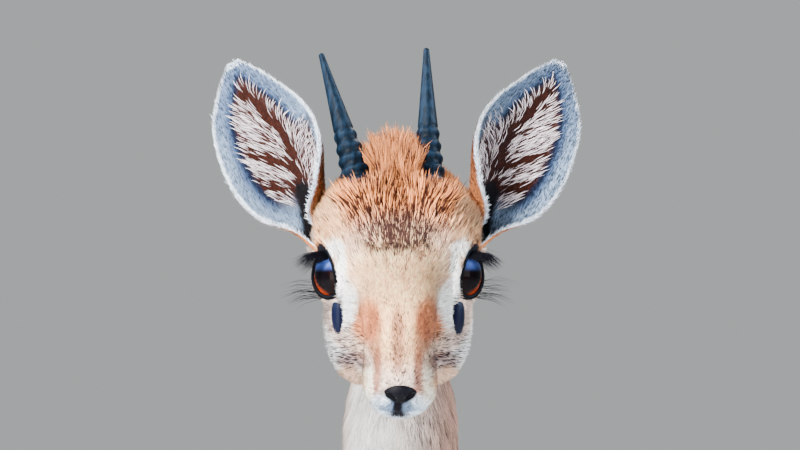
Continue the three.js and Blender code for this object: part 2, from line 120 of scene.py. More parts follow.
bpy.context.scene.world = sky


# Shader maths
class Wire:
    """A node's output that Python's operators work on, each adding one Math node."""

    def __init__(self, tree, socket):
        self.tree = tree
        self.socket = socket

    def maths(self, operation, *values):
        node = self.tree.nodes.new("ShaderNodeMath")
        node.operation = operation
        for socket, value in zip(node.inputs, values):
            if isinstance(value, Wire):
                self.tree.links.new(value.socket, socket)
            else:
                socket.default_value = value
        return Wire(self.tree, node.outputs[0])

    def __add__(self, other):
        return self.maths("ADD", self, other)

    def __radd__(self, other):
        return self.maths("ADD", other, self)

    def __sub__(self, other):
        return self.maths("SUBTRACT", self, other)

    def __rsub__(self, other):
        return self.maths("SUBTRACT", other, self)

    def __mul__(self, other):
        return self.maths("MULTIPLY", self, other)

    def __rmul__(self, other):
        return self.maths("MULTIPLY", other, self)

    def __truediv__(self, other):
        return self.maths("DIVIDE", self, other)

    def __rtruediv__(self, other):
        return self.maths("DIVIDE", other, self)

    def limited(self, low, high):
        return self.maths("MINIMUM", self.maths("MAXIMUM", self, low), high)


# The middle of a noise's range, over which its two shades blend
NOISE_RANGE = (0.3, 0.7)


class Finish:
    """A procedural material under construction."""

    def __init__(self, name, roughness, **settings):
        self.material = bpy.data.materials.new(name)
        self.material.use_nodes = True
        self.tree = self.material.node_tree
        self.shader = self.tree.nodes["Principled BSDF"]
        self.shader.inputs["Roughness"].default_value = roughness
        for socket, value in settings.items():
            self.shader.inputs[socket.replace("_", " ")].default_value = value

    def node(self, kind, settings, inputs, output=0):
        made = self.tree.nodes.new("ShaderNode" + kind)
        for name, value in settings.items():
            if name == "stops":
                for stop, (position, colour) in zip(made.color_ramp.elements, value):
                    stop.position = position
                    stop.color = (*colour, 1)
            else:
                setattr(made, name, value)
        for name, value in inputs.items():
            if isinstance(value, Wire):
                self.tree.links.new(value.socket, made.inputs[name])
            else:
                made.inputs[name].default_value = value
        return Wire(self.tree, made.outputs[output])

    def painted(self, attribute):
        return self.node("Attribute", {"attribute_name": attribute}, {}, "Color")

    def noise(self, scale, detail=3, stretch=(1, 1, 1)):
        place = self.node("TexCoord", {}, {}, "Object")
        stretched = self.node("Mapping", {}, {"Vector": place, "Scale": stretch})
        values = {"Vector": stretched, "Scale": scale, "Detail": detail}
        return self.node("TexNoise", {}, values, "Fac")

    def ramp(self, factor, low, high):
        stops = zip(NOISE_RANGE, (low, high))
        return self.node("ValToRGB", {"stops": stops}, {"Fac": factor}, "Color")

    def mix(self, factor, first, second, blend="MIX"):
        settings = {"data_type": "RGBA", "blend_type": blend}
        return self.node("Mix", settings, {0: factor, 6: first, 7: second}, 2)

    def colour(self, wire):
        self.tree.links.new(wire.socket, self.shader.inputs["Base Color"])

    def bumps(self, height, strength, distance):
        values = {"Height": height, "Strength": strength, "Distance": distance}
        bump = self.node("Bump", {}, values, "Normal")
        self.tree.links.new(bump.socket, self.shader.inputs["Normal"])


# Finished pieces
def keep(piece, finish, slot, *replaced):
    piece.data.materials.clear()
    piece.data.materials.append(finish.material)
    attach(piece, "root")
    if replaced:
        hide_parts(*replaced)


def piece_from(name, bm):
    mesh = bpy.data.meshes.new(name)
    bm.to_mesh(mesh)
    bm.free()
    mesh.shade_smooth()
    return placed(name, mesh)


def applied(piece):
    """The mesh of a piece as its modifiers or its curve make it; the piece itself goes."""
    mesh = bpy.data.meshes.new_from_object(piece.evaluated_get(bpy.context.evaluated_depsgraph_get()))
    bpy.data.objects.remove(piece)
    return mesh


def paint_points(mesh, layer_name, colours, kind="BYTE_COLOR"):
    layer = mesh.color_attributes.new(layer_name, kind, "POINT")
    filled = np.concatenate([colours, np.ones((len(colours), 1))], axis=1)
    layer.data.foreach_set("color", filled.astype(np.float32).ravel())


def coat_piece(name, points, triangles, colours, unwrap):
    """A mesh with a colour at each point and an unwrapped place at each triangle's corner."""
    mesh = bpy.data.meshes.new(name)
    mesh.vertices.add(len(points))
    mesh.vertices.foreach_set("co", np.ascontiguousarray(points, np.float32).ravel())
    mesh.loops.add(triangles.size)
    mesh.loops.foreach_set("vertex_index", triangles.astype(np.int32).ravel())
    mesh.polygons.add(len(triangles))
    mesh.polygons.foreach_set("loop_start", np.arange(0, triangles.size, 3, dtype=np.int32))
    mesh.update(calc_edges=True)
    paint_points(mesh, "coat_colour", colours)
    layer = mesh.uv_layers.new(name="OFBake")
    layer.data.foreach_set("uv", unwrap.astype(np.float32).ravel())
    mesh.shade_smooth()
    return placed(name, mesh)


# Shape helpers
def unit(vectors):
    length = np.linalg.norm(vectors, axis=-1, keepdims=True)
    return vectors / np.maximum(length, 1e-12)


def step(low, high, values):
    share = np.clip((values - low) / (high - low), 0, 1)
    return share * share * (3 - 2 * share)


def patch(offsets, radii, softness=0.35):
    """1 inside an ellipse or ellipsoid round the origin, fading to 0 across its border."""
    distance = np.sqrt(sum((offset / radius) ** 2 for offset, radius in zip(offsets, radii)))
    return 1 - step(1 - softness, 1 + softness, distance)


def profile(rows):
    """A smooth curve through rows of (station, value)."""
    stations, values = np.array(rows, float).T
    slopes = np.gradient(values, stations)
    slopes[1:-1] = (values[2:] - values[:-2]) / (stations[2:] - stations[:-2])

    def at(station):
        station = np.clip(station, stations[0], stations[-1])
        i = np.clip(np.searchsorted(stations, station, "right") - 1, 0, len(stations) - 2)
        width = stations[i + 1] - stations[i]
        share = (station - stations[i]) / width
        rise = values[i + 1] - values[i]
        start = slopes[i] * width - rise
        end = rise - slopes[i + 1] * width
        bulge = share * (1 - share) * (start * (1 - share) + end * share)
        return values[i] + rise * share + bulge

    return at


# The head's own frame, in millimetres from the point midway between the eyes
HEAD_PITCH = math.radians(38)
HEAD_TURN = math.radians(1)
head_turn = np.array(Matrix.Rotation(HEAD_TURN, 3, "Z") @ Matrix.Rotation(HEAD_PITCH, 3, "X"))
head_origin = np.array(eye_middle)


def on_head(across, forward, up):
    return np.stack(np.broadcast_arrays(across, -np.asarray(forward), up), axis=-1).astype(float)


def from_head(local):
    return head_origin + (local * MM) @ head_turn.T


def to_head(points):
    local = (points - head_origin) @ head_turn / MM
    return local[..., 0], -local[..., 1], local[..., 2]


def head_direction(across, forward, up):
    return on_head(across, forward, up) @ head_turn.T


# Eyes: where the lids open, as angles from the middle of the eyeball
EYE_RADIUS = 11
EYE_SPREAD = 20
LID_ANGLES = {"front": 51, "back": 56, "upper": 39, "lower": 41}
LID_TILT = math.radians(8)
LID_CORNER = 0.1
LID_PULL = 0.6
gaze = unit(on_head(0.835, 0.433, 0.339))
eye_back = unit(on_head(0, -1, 0) - gaze * np.dot(on_head(0, -1, 0), gaze))
eye_up = np.cross(gaze, eye_back)
eye_across = eye_back * math.cos(LID_TILT) + eye_up * math.sin(LID_TILT)
eye_rise = eye_up * math.cos(LID_TILT) - eye_back * math.sin(LID_TILT)


def lid_outline(count=25):
    """The almond between the lids, as slopes from the line of sight."""
    front, back, upper, lower = (math.tan(math.radians(a)) for a in LID_ANGLES.values())
    share = np.linspace(0, 1, count)[:, None]

    def lid(start, end, height):
        """A curve between the eye's corners, this high in its middle."""
        pulls = [(corner[0] * LID_PULL, height * 4 / 3) for corner in (start, end)]
        a, b, c, d = np.array([start, *pulls, end], float)
        left = 1 - share
        return left**3 * a + 3 * left**2 * share * b + 3 * left * share**2 * c + share**3 * d

    inner, outer = (-front, -LID_CORNER), (back, LID_CORNER)
    return np.concatenate([lid(inner, outer, upper)[:-1], lid(outer, inner, -lower)[:-1]])


lid_edge = lid_outline()
lid_turns = np.arctan2(lid_edge[:, 1], lid_edge[:, 0])
lid_order = np.argsort(lid_turns)
lid_reach = np.linalg.norm(lid_edge, axis=1)[lid_order]
lid_turns = lid_turns[lid_order]


def eye_directions(points):
    """How far out from the eye a point lies, and where it is against the lids' edge (1)."""
    across, forward, up = to_head(points)
    local = on_head(np.abs(across) - EYE_SPREAD, forward, up)
    along_sight = local @ gaze
    slope = np.stack([local @ eye_across, local @ eye_rise], -1)
    slope = slope / np.maximum(along_sight, 0.01)[:, None]
    turn = np.arctan2(slope[:, 1], slope[:, 0])
    edge = np.interp(turn, lid_turns, lid_reach, period=2 * math.pi)
    place = np.linalg.norm(slope, axis=1) / edge
    return local, np.where(along_sight > 0.5, place, 9)


# Skin: the flesh solids melted into one surface, smoothed and let in by the coat's depth
FLESH_PARTS = {
    "head": ["head"],
    "neck": ["neck"],
    "trunk": ["torso", "tail"],
    "leg": [
        f"{end}_{side}_{part}"
        for end, upper in (("fore", "forearm"), ("hind", "thigh"))
        for side in ("left", "right")
        for part in (upper, "cannon")
    ],
}
COAT_DEPTH = {"head": 1.3, "neck": 3.6, "trunk": 4.5, "leg": 1.0}
FLESH_NODES = [node for nodes in FLESH_PARTS.values() for node in nodes]
INLAY_NODES = ["eye_left", "eye_right", "gland_left", "gland_right", "nose_pad"]
VOXEL = 0.0011
SWELL = 0.0004
SKULL_DOMES = [((0, -18, 8), (30.6, 29, 19.5)), ((0, -24, 20), (17, 17, 12))]
DOME_SLACK = 1.06
MERGED = 1e-6


def tuft_area(points):
    across, forward, up = to_head(points)
    return patch((across, forward + 15, up - 26), (22, 24, 16), 0.3)


def without_locks(points):
    """The crown's locks pressed down onto the skull, where the fur tufts take over."""
    here = on_head(*to_head(points))
    levels, pressed = [], []
    for middle, radii in SKULL_DOMES:
        middle = on_head(*middle)
        level = np.linalg.norm((here - middle) / np.array(radii), axis=1)
        levels.append(level)
        pressed.append(middle + (here - middle) * (DOME_SLACK / np.maximum(level, 0.1))[:, None])
    nearest = np.argmin(levels, axis=0)
    pressed = np.choose(nearest[:, None], pressed)
    proud = (tuft_area(points) > 0.05) & (np.min(levels, axis=0) > DOME_SLACK)
    return np.where(proud[:, None], from_head(pressed), points)


def melted_flesh():
    bm = bmesh.new()
    for name in FLESH_NODES + INLAY_NODES:
        bm.from_mesh(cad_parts[name].data)
    bmesh.ops.remove_doubles(bm, verts=bm.verts, dist=MERGED)
    bm.normal_update()
    swollen = np.array([vertex.co + vertex.normal * SWELL for vertex in bm.verts])
    for vertex, place in zip(bm.verts, without_locks(swollen)):
        vertex.co = place
    piece = piece_from("flesh", bm)
    remesh = piece.modifiers.new("melt", "REMESH")
    remesh.mode = "VOXEL"
    remesh.voxel_size = VOXEL
    return applied(piece)


def points_of(mesh):
    points = np.empty(len(mesh.vertices) * 3, np.float32)
    mesh.vertices.foreach_get("co", points)
    return points.reshape(-1, 3).astype(float)


def edges_of(mesh):
    edges = np.empty(len(mesh.edges) * 2, np.int32)
    mesh.edges.foreach_get("vertices", edges)
    return edges.reshape(-1, 2)


def evened(values, edges, rounds, share=0.5):
    """Values moved towards the mean of their neighbours, round after round."""
    start, end = edges.T
    count = len(values)
    neighbours = np.bincount(edges.ravel(), minlength=count)[:, None]
    for _ in range(rounds):
        total = np.stack([
            np.bincount(start, column[end], count) + np.bincount(end, column[start], count)
            for column in values.T
        ], axis=1)
        values = values + share * (total / neighbours - values)
    return values


def one_piece(edges, count):
    """The largest set of joined vertices."""
    label = np.arange(count)
    while True:
        lowest = np.minimum(label[edges[:, 0]], label[edges[:, 1]])
        before = label.copy()
        np.minimum.at(label, edges[:, 0], lowest)
        np.minimum.at(label, edges[:, 1], lowest)
        label = label[label]
        if np.array_equal(label, before):
            return label == np.bincount(label).argmax()


def normals_of(points, triangles):
    a, b, c = (points[triangles[:, i]] for i in range(3))
    faces = np.cross(b - a, c - a)
    total = np.stack([
        sum(np.bincount(triangles[:, i], faces[:, axis], len(points)) for i in range(3))
        for axis in range(3)
    ], axis=1)
    return unit(total)


def triangles_of(mesh):
    mesh.calc_loop_triangles()
    triangles = np.empty(len(mesh.loop_triangles) * 3, np.int32)
    mesh.loop_triangles.foreach_get("vertices", triangles)
    return triangles.reshape(-1, 3)


def part_shares(points, edges):
    """How much each vertex belongs to the head, neck, trunk and legs, blended across joins."""
    distances = []
    for nodes in FLESH_PARTS.values():
        bm = bmesh.new()
        for name in nodes:
            bm.from_mesh(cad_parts[name].data)
        tree = BVHTree.FromBMesh(bm)
        bm.free()
        distances.append([tree.find_nearest(point)[3] for point in points])
    nearest = np.argmin(distances, axis=0)
    return evened(np.eye(len(FLESH_PARTS))[nearest], edges, SHARE_ROUNDS)


# Rounds of smoothing, and how far past the head the skin is thinned out
SHARE_ROUNDS = 14
SMOOTH_ROUNDS = 30
SMOOTH_IN = 0.5
SMOOTH_OUT = -0.53
CROWN_ROUNDS = 90
BODY_BEHIND = -48
BODY_BELOW = -75
BODY_THINNED = 0.2


def shaped_skin():
    mesh = melted_flesh()
    points, edges = points_of(mesh), edges_of(mesh)
    kept = one_piece(edges, len(points))
    for _ in range(SMOOTH_ROUNDS):
        points = evened(points, edges, 1, SMOOTH_IN)
        points = evened(points, edges, 1, SMOOTH_OUT)
    crown = tuft_area(points)[:, None]
    points = points * (1 - crown) + evened(points, edges, CROWN_ROUNDS) * crown
    points = evened(points, edges, 2)
    mesh.vertices.foreach_set("co", points.astype(np.float32).ravel())
    bm = bmesh.new()
    bm.from_mesh(mesh)
    bpy.data.meshes.remove(mesh)
    bm.verts.ensure_lookup_table()
    bmesh.ops.delete(bm, geom=[bm.verts[i] for i in np.flatnonzero(~kept)], context="VERTS")
    piece = piece_from("thinned", bm)
    group = piece.vertex_groups.new(name="body")
    _, forward, up = to_head(points_of(piece.data))
    body = np.flatnonzero((forward < BODY_BEHIND) | (up < BODY_BELOW))
    group.add(body.tolist(), 1.0, "REPLACE")
    thin = piece.modifiers.new("thin", "DECIMATE")
    thin.vertex_group = "body"
    thin.ratio = BODY_THINNED
    thin.use_collapse_triangulate = True
    return applied(piece)


# Colours, as seen on the animal in even light, apart from the painted shade, shadow and reflection
# marked below
def tone(red, green, blue):
    share = np.array((red, green, blue)) / 255
    return np.where(share <= 0.04045, share / 12.92, ((share + 0.055) / 1.055) ** 2.4)


RUFOUS = tone(204, 128, 76)
CROWN_RUFOUS = tone(150, 90, 50)
PEACH = tone(238, 184, 138)
TEMPLE = tone(240, 188, 144)
ORANGE = tone(192, 116, 72)
STREAK = tone(124, 68, 44)
MAUVE_GREY = tone(134, 88, 70)
EYE_WHITE = tone(253, 253, 252)
CHEEK_GREY = tone(206, 182, 170)
MOUTH_BROWN = tone(116, 62, 38)
JAW_TAN = tone(188, 136, 94)
CREAM = tone(248, 228, 204)
LIP_WHITE = tone(206, 222, 240)
# painted shade on the upper lip under the nose
PAINTED_LIP_SHADE = tone(84, 106, 136)
CHIN_WHITE = tone(244, 244, 244)
# grey of the neck's front, which on the right side also stands as painted shade
NECK_GREY_AND_SHADE = tone(148, 118, 106)
THROAT = tone(255, 250, 246)
BACK_GREY = tone(134, 110, 84)
FLANK_TAWNY = tone(182, 132, 88)
BELLY_WHITE = tone(240, 234, 222)
LEG_TAWNY = tone(156, 108, 70)
BARE_DARK = tone(14, 12, 18)
EAR_EDGE = tone(204, 216, 234)
EAR_PALE = tone(104, 122, 146)
EAR_BLUE = tone(54, 70, 98)
EAR_LINE = tone(16, 22, 40)
EAR_SKIN = tone(52, 32, 30)
EAR_WHITE = tone(226, 214, 220)
EAR_BROWN = tone(40, 17, 11)
# painted shadow down the ear canal
EAR_CANAL_SHADOW = tone(10, 8, 10)
EAR_BACK = tone(66, 32, 20)
EYE_BROWN = tone(14, 4, 3)
IRIS_ORANGE = tone(104, 32, 8)
PUPIL_BLACK = tone(6, 4, 6)
# painted reflection: the sky's blue in the upper part of the eyes
PAINTED_SKY_REFLECTION = tone(80, 112, 200)
LID_SHADOW = tone(6, 5, 7)


def lay(base, colour, share):
    share = np.clip(share, 0, 1)[:, None]
    return base * (1 - share) + colour * share


# Face markings: colour, then middle across and up, half sizes and strength as seen from in front
FACE_MARKS = [
    (CROWN_RUFOUS, (0, 36), (26, 9), 0.8),
    (TEMPLE, (25, 18), (7, 12), 0.6),
    (PEACH, (0, 1), (19, 15), 0.9),
    (PEACH, (0, -16), (15, 18), 1),
    (ORANGE, (11.5, -17), (5, 8), 0.95),
    (STREAK, (9, -22), (3.0, 10), 0.7),
    (STREAK, (7.6, -36), (1.8, 9), 0.8),
    (MAUVE_GREY, (0, -24), (2.4, 12), 0.8),
    (EYE_WHITE, (20.8, 0), (2, 9), 1),
    (EYE_WHITE, (18.8, -12), (3.4, 8), 1),
    (EYE_WHITE, (24, 8.5), (4.5, 2.2), 1),
    (CREAM, (11.2, -39), (2.2, 9), 1),
    (MOUTH_BROWN, (16.5, -32), (6.2, 3.4), 0.7),
    (JAW_TAN, (18, -39), (6, 5), 0.8),
    (LIP_WHITE, (0, -48), (12, 5), 1),
    # painted shade on the upper lip, under the nose
    (PAINTED_LIP_SHADE, (0, -48.6), (6.8, 2.2), 0.9),
    (BARE_DARK, (21.8, -9.6), (0.9, 3.4), 0.9),
    (BARE_DARK, (0, -47.4), (2.1, 3.1), 1),
    (BARE_DARK, (0, -50.6), (3.8, 1.0), 1),
]
DARK_LID = 1.07

# Bare places: a gland across and up as seen from in front, a horn's foot across and forward,
# and the nose forward and up
GLAND_SEEN = (22.3, -15.2)
HORN_FOOT = (11.8, -17)
NOSE_ROOT = (66.5, -1.8)


def seen_from_front(points):
    """Distance from the middle line and height over the eyes, in millimetres."""
    offset = (points - head_origin) / MM
    return np.abs(offset[:, 0]), offset[:, 2]


def forehead(points):
    _, forward, up = to_head(points)
    return step(-2, 9, up) * step(10, -4, forward)


def head_paint(points, normals):
    across, forward, up = to_head(points)
    x, z = seen_from_front(points)
    _, eye_place = eye_directions(points)
    facing = step(0.45, 0, normals[:, 1])
    mouth = step(0.9, 0.5, mouth_offset(forward, up)) * step(13, 9, x)
    colour = np.tile(CHEEK_GREY, (len(points), 1))
    colour = lay(colour, RUFOUS, forehead(points))
    colour = lay(colour, FLANK_TAWNY, 0.8 * step(-26, -40, forward) * step(-24, -8, up))
    colour = lay(colour, CHIN_WHITE, step(-15, -19, up) * step(-10, 6, forward))
    for shade, (middle, height), radii, strength in FACE_MARKS:
        colour = lay(colour, shade, strength * facing * patch((x - middle, z - height), radii))
    eye_ring = 0.8 * (1 - step(1.3, 1.6, eye_place))
    colour = lay(colour, EYE_WHITE, eye_ring * step(-4, -12, up + forward))
    colour = lay(colour, BARE_DARK, 0.5 * mouth)
    nose = patch((across, forward - NOSE_ROOT[0], up - NOSE_ROOT[1]), (7, 6.6, 5), 0.1)
    colour = lay(colour, BARE_DARK, nose)
    return lay(colour, BARE_DARK, 1 - step(DARK_LID, DARK_LID + 0.06, eye_place))


def neck_paint(points, normals):
    x, _, z = (points - head_origin).T / MM
    front = step(0.25, -0.7, normals[:, 1])
    colour = np.tile(FLANK_TAWNY, (len(points), 1))
    colour = lay(colour, BACK_GREY, 0.6 * step(0.2, 0.9, normals[:, 1]))
    # painted shade: the front of the neck stays grey on the right, shaded side, as the white throat is
    # laid mostly on the left, lit side
    colour = lay(colour, NECK_GREY_AND_SHADE, step(0.5, 0.0, normals[:, 1]) * step(-150, -80, z))
    return lay(colour, THROAT, 0.9 * front * step(-155, -64, z) * step(24, -16, x))


def trunk_paint(points, normals):
    height = points[:, 2] / MM
    colour = np.tile(FLANK_TAWNY, (len(points), 1))
    colour = lay(colour, BACK_GREY, step(300, 368, height + 20 * normals[:, 2]))
    belly = step(264, 236, height) * step(-0.15, -0.6, normals[:, 2])
    rump = step(0.55, 0.9, normals[:, 1]) * step(335, 295, height)
    return lay(colour, BELLY_WHITE, np.maximum(belly, 0.8 * rump))


def leg_paint(points, normals):
    height = points[:, 2] / MM
    inner = step(0.1, 0.8, -normals[:, 0] * np.sign(points[:, 0]))
    inner = inner * step(140, 230, height) * step(262, 236, height)
    colour = np.tile(LEG_TAWNY, (len(points), 1))
    return lay(colour, BELLY_WHITE, 0.85 * inner)


def coat_paint(points, normals, shares):
    paints = (
        head_paint(points, normals), neck_paint(points, normals),
        trunk_paint(points, normals), leg_paint(points, normals),
    )
    return sum(share[:, None] * paint for share, paint in zip(shares.T, paints))


# Unwrap: a row of six cells for each part, where skin and tufts take their place by position.
# The rows are the head, neck, trunk, four legs and two ears, as shares of the map's height
CELL_ROWS = [0.28, 0.12, 0.22] + [0.07] * 4 + [0.05] * 2
row_starts = np.concatenate([[0], np.cumsum(CELL_ROWS)])
LEG_ROW = 3
EAR_ROWS = {"left": 7, "right": 8}
CELL_MARGIN = 0.004
TUFT_PATCH = 0.003


def cell_rows(points, shares):
    rows = shares.argmax(axis=1)
    corner = (points[:, 0] < 0) + 2 * (points[:, 1] > 0)
    return np.where(rows == LEG_ROW, LEG_ROW + corner, rows)


def unwrapped(points, directions, rows):
    facing = np.abs(directions).argmax(axis=1)
    back = np.take_along_axis(directions, facing[:, None], 1)[:, 0] < 0
    column = facing * 2 + back
    low, high = (np.array(corner) for corner in CELL_BOX)
    place = (points - low) / (high - low)
    first = np.where(facing == 0, place[:, 1], place[:, 0])
    second = np.where(facing == 2, place[:, 1], place[:, 2])
    height = np.array(CELL_ROWS)[rows]
    start = row_starts[rows]
    share = np.stack([first, second], 1).clip(0, 1)
    corner = np.stack([column / 6, start], 1) + CELL_MARGIN
    size = np.stack([np.full(len(points), 1 / 6), height], 1) - 2 * CELL_MARGIN
    return corner + share * size


# Skin
EYE_SOCKET = 9.6
LID_SKIN = 11.6
MOUTH_LINE = profile([(34, -13.8), (50, -12.7), (72, -11.8)])
MOUTH_WIDTH = 1.5
MOUTH_DEPTH = 1.1


def mouth_offset(forward, up):
    """Distance from the line where the lips meet, far away where there is no mouth."""
    return np.where(forward > 33, np.abs(up - MOUTH_LINE(forward)), 9)


def coat_depth(points, shares):
    depth = shares @ np.array(list(COAT_DEPTH.values()))
    across, forward, up = to_head(points)
    _, eye_place = eye_directions(points)
    depth = depth - 0.5 * step(30, 50, forward) * shares[:, 0]
    depth = depth + 1.8 * patch((across, forward - 67, up + 1.8), (6.5, 6, 5), 0.2)
    foot_across, foot_forward = HORN_FOOT
    horn_foot = patch((np.abs(across) - foot_across, forward - foot_forward), (9, 9), 0.1) * (up > 6)
    return np.where((eye_place < 1.6) | (horn_foot > 0.5), 0.5, depth)


def let_in(points, normals, shares):
    _, forward, up = to_head(points)
    depth = coat_depth(points, shares)
    groove = np.clip(1 - (mouth_offset(forward, up) / MOUTH_WIDTH) ** 2, 0, 1)
    depth = depth + MOUTH_DEPTH * groove * step(33, 40, forward)
    points = points - normals * depth[:, None] * MM
    local, eye_place = eye_directions(points)
    distance = np.linalg.norm(local, axis=1)
    lid = np.maximum(distance, LID_SKIN)
    wanted = EYE_SOCKET + (lid - EYE_SOCKET) * step(0.93, 1.07, eye_place)
    near = (eye_place < 1.4) & (distance < 16)
    scale = np.where(near, wanted / np.maximum(distance, 1), 1)
    across, forward, up = to_head(points)
    side = np.where(across < 0, -1, 1)
    moved = on_head(side * EYE_SPREAD, 0, 0) + local * scale[:, None] * on_head(side, -1, 1)
    return np.where(near[:, None], from_head(moved), points)


# Ears: a cup whose edges roll forward, as on the solids
EAR_ROOT = (28, -28, -11)
EAR_LENGTH = 77
EAR_THICKNESS = 2.1
ear_outline = profile([
    (0, 6.5), (0.14, 7.4), (0.29, 15.7), (0.48, 20.2), (0.72, 17.8), (0.9, 10), (1, 3.2),
])
ear_roll = profile([(0, 2.6), (0.14, 2.2), (0.3, 1.35), (0.55, 0.85), (0.8, 0.55), (1, 0.35)])
ear_curl = profile([(0, 1), (0.2, 1.25), (0.4, 1.38), (0.6, 1.28), (0.8, 1.1), (1, 1)])
ear_bow = profile([(0, -7), (0.14, -2.5), (0.3, -1), (0.5, -1), (0.8, 1), (1, 1)])
EAR_LEAN_BACK = math.radians(-42)
EAR_TURN_OUT = math.radians(24)
EAR_SPLAY = math.radians(22)
ear_turn = np.array(
    Matrix.Rotation(EAR_LEAN_BACK, 3, "X")
    @ Matrix.Rotation(EAR_TURN_OUT, 3, "Y")
    @ Matrix.Rotation(EAR_SPLAY, 3, "Z")
)


def ear_place(across, along, depth, side):
    """A point of an ear: across from edge to edge (-1 to 1), along 0 to 1, depth 0 back to 1 inside."""
    roll = ear_roll(along)
    radius = ear_outline(along) / np.sin(np.minimum(roll, math.pi / 2))
    angle = across * roll * np.where(across < 0, ear_curl(along), 1)
    taper = 1 - 0.75 * np.abs(across) ** 6
    inward = 0.5 + (depth - 0.5) * taper
    reach = radius - inward * EAR_THICKNESS
    flat = np.stack([
        reach * np.sin(angle) + ear_bow(along), reach * np.cos(angle) - radius, along * EAR_LENGTH,
    ], 1)
    local = on_head(*EAR_ROOT) + flat @ ear_turn.T
    local[:, 0] *= side
    return from_head(local), flat


def ear_shell(side):
    bm = bmesh.new()
    bmesh.ops.create_grid(bm, x_segments=48, y_segments=66, size=1)
    lifted = bmesh.ops.extrude_face_region(bm, geom=list(bm.faces))
    for element in lifted["geom"]:
        if isinstance(element, bmesh.types.BMVert):
            element.co.z = 1
    bmesh.ops.triangulate(bm, faces=list(bm.faces))
    bm.verts.index_update()
    slab = np.array([vertex.co for vertex in bm.verts])
    triangles = np.array([[vertex.index for vertex in face.verts] for face in bm.faces])
    bm.free()
    across, along, depth = slab[:, 0], slab[:, 1] / 2 + 0.5, slab[:, 2]
    points, flat = ear_place(across, along, depth, side)
    a, b, c = points[triangles[:, 0]], points[triangles[:, 1]], points[triangles[:, 2]]
    if np.einsum("ij,ij->", a, np.cross(b, c)) < 0:
        triangles = triangles[:, ::-1]
    return points, triangles, (across, along, depth, flat)


def near_line(along, across, *corners):
    """Distance in millimetres from a bent line given by (along, across) corners."""
    here = np.stack([along, across], 1)
    nearest = np.full(len(here), 99.0)
    for start, end in zip(np.array(corners[:-1], float), np.array(corners[1:], float)):
        run = end - start
        share = np.clip((here - start) @ run / (run @ run), 0, 1)
        nearest = np.minimum(nearest, np.linalg.norm(here - start - share[:, None] * run, axis=1))
    return nearest


def ear_streaks(along, across):
    stem = near_line(along, across, (65, 1.5), (45, -6.5), (30, -6), (23, -2.3))
    upper = near_line(along, across, (43, 8), (30, -6))
    lower = near_line(along, across, (31, 9.5), (23, -2.3))
    return np.minimum(np.minimum(stem, upper), lower)


def ear_canal(along, across):
    return near_line(along, across, (23, -4), (5, -1))


def ear_rim(along, reach):
    """1 where the ear has its blue-grey rim, 0 along the middle of the edge by the head."""
    return 1 - (reach < 0) * step(0.2, 0.3, along) * step(0.66, 0.56, along)


def ear_paint(across, along, depth, flat):
    reach, height = flat[:, 0], flat[:, 2]
    from_edge = ear_outline(along) - np.abs(reach - ear_bow(along))
    streak = ear_streaks(height, reach)
    inner = np.tile(EAR_SKIN, (len(along), 1))
    inner = lay(inner, EAR_BROWN, step(3.6, 2.2, streak))
    rolled = (reach < 0) * step(0.7, 0.82, np.abs(across)) * step(0.62, 0.5, along)
    rim = ear_rim(along, reach)
    inner = lay(inner, EAR_LINE, step(8.9, 8.1, from_edge) * rim)
    inner = lay(inner, EAR_BLUE, step(7.2, 6.2, from_edge) * rim)
    inner = lay(inner, EAR_PALE, step(6.4, 3.4, from_edge) * rim * (1 - 0.6 * step(0.6, 0.85, along)))
    inner = lay(inner, EAR_PALE, np.maximum(rolled, 0.7 * step(0.32, 0.2, along)))
    inner = lay(inner, EAR_EDGE, np.maximum(step(0.96, 0.99, np.abs(across)), step(0.985, 1, along)))
    # painted shadow: near-black laid along the ear canal, where shade falls in the fold
    inner = lay(inner, EAR_CANAL_SHADOW, step(4.6, 2.8, ear_canal(height, reach)))
    back = np.tile(EAR_BACK, (len(along), 1))
    back = lay(back, RUFOUS, 0.5 * step(0.5, 0.1, along))
    back = lay(back, EAR_EDGE, np.maximum(step(0.96, 1.0, np.abs(across)), step(0.97, 1, along)))
    return lay(back, inner, (depth > 0.5).astype(float))


# The joins between neck, trunk and legs are smoothed, and the colours blend across them
JOIN_WIDTH = 16
JOIN_ROUNDS = 100
BLEND_ROUNDS = 50
skin_mesh = shaped_skin()
skin_edges, skin_triangles = edges_of(skin_mesh), triangles_of(skin_mesh)
outer_points = points_of(skin_mesh)
skin_shares = part_shares(outer_points, skin_edges)
_, neck_share, trunk_share, leg_share = skin_shares.T
joins = 4 * trunk_share * (neck_share + leg_share)
joins = step(0, 0.5, evened(joins[:, None], skin_edges, JOIN_WIDTH))
for _ in range(JOIN_ROUNDS):
    outer_points = outer_points + joins * (evened(outer_points, skin_edges, 1) - outer_points)
outer_normals = normals_of(outer_points, skin_triangles)
skin_points = let_in(outer_points, outer_normals, skin_shares)
skin_normals = normals_of(skin_points, skin_triangles)
skin_colours = coat_paint(outer_points, outer_normals, skin_shares)
blended = step(0, 0.3, evened(joins, skin_edges, JOIN_WIDTH))
evened_colours = evened(skin_colours, skin_edges, BLEND_ROUNDS)
skin_colours = skin_colours * (1 - blended) + evened_colours * blended
CELL_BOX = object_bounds()


def face_unwrap(points, triangles, rows):
    """The cells are chosen per triangle, so that no triangle spans two of them."""
    a, b, c = (points[triangles[:, i]] for i in range(3))
    directions = np.repeat(np.cross(b - a, c - a), 3, axis=0)
    return unwrapped(points[triangles.ravel()], directions, np.repeat(rows[triangles[:, 0]], 3))


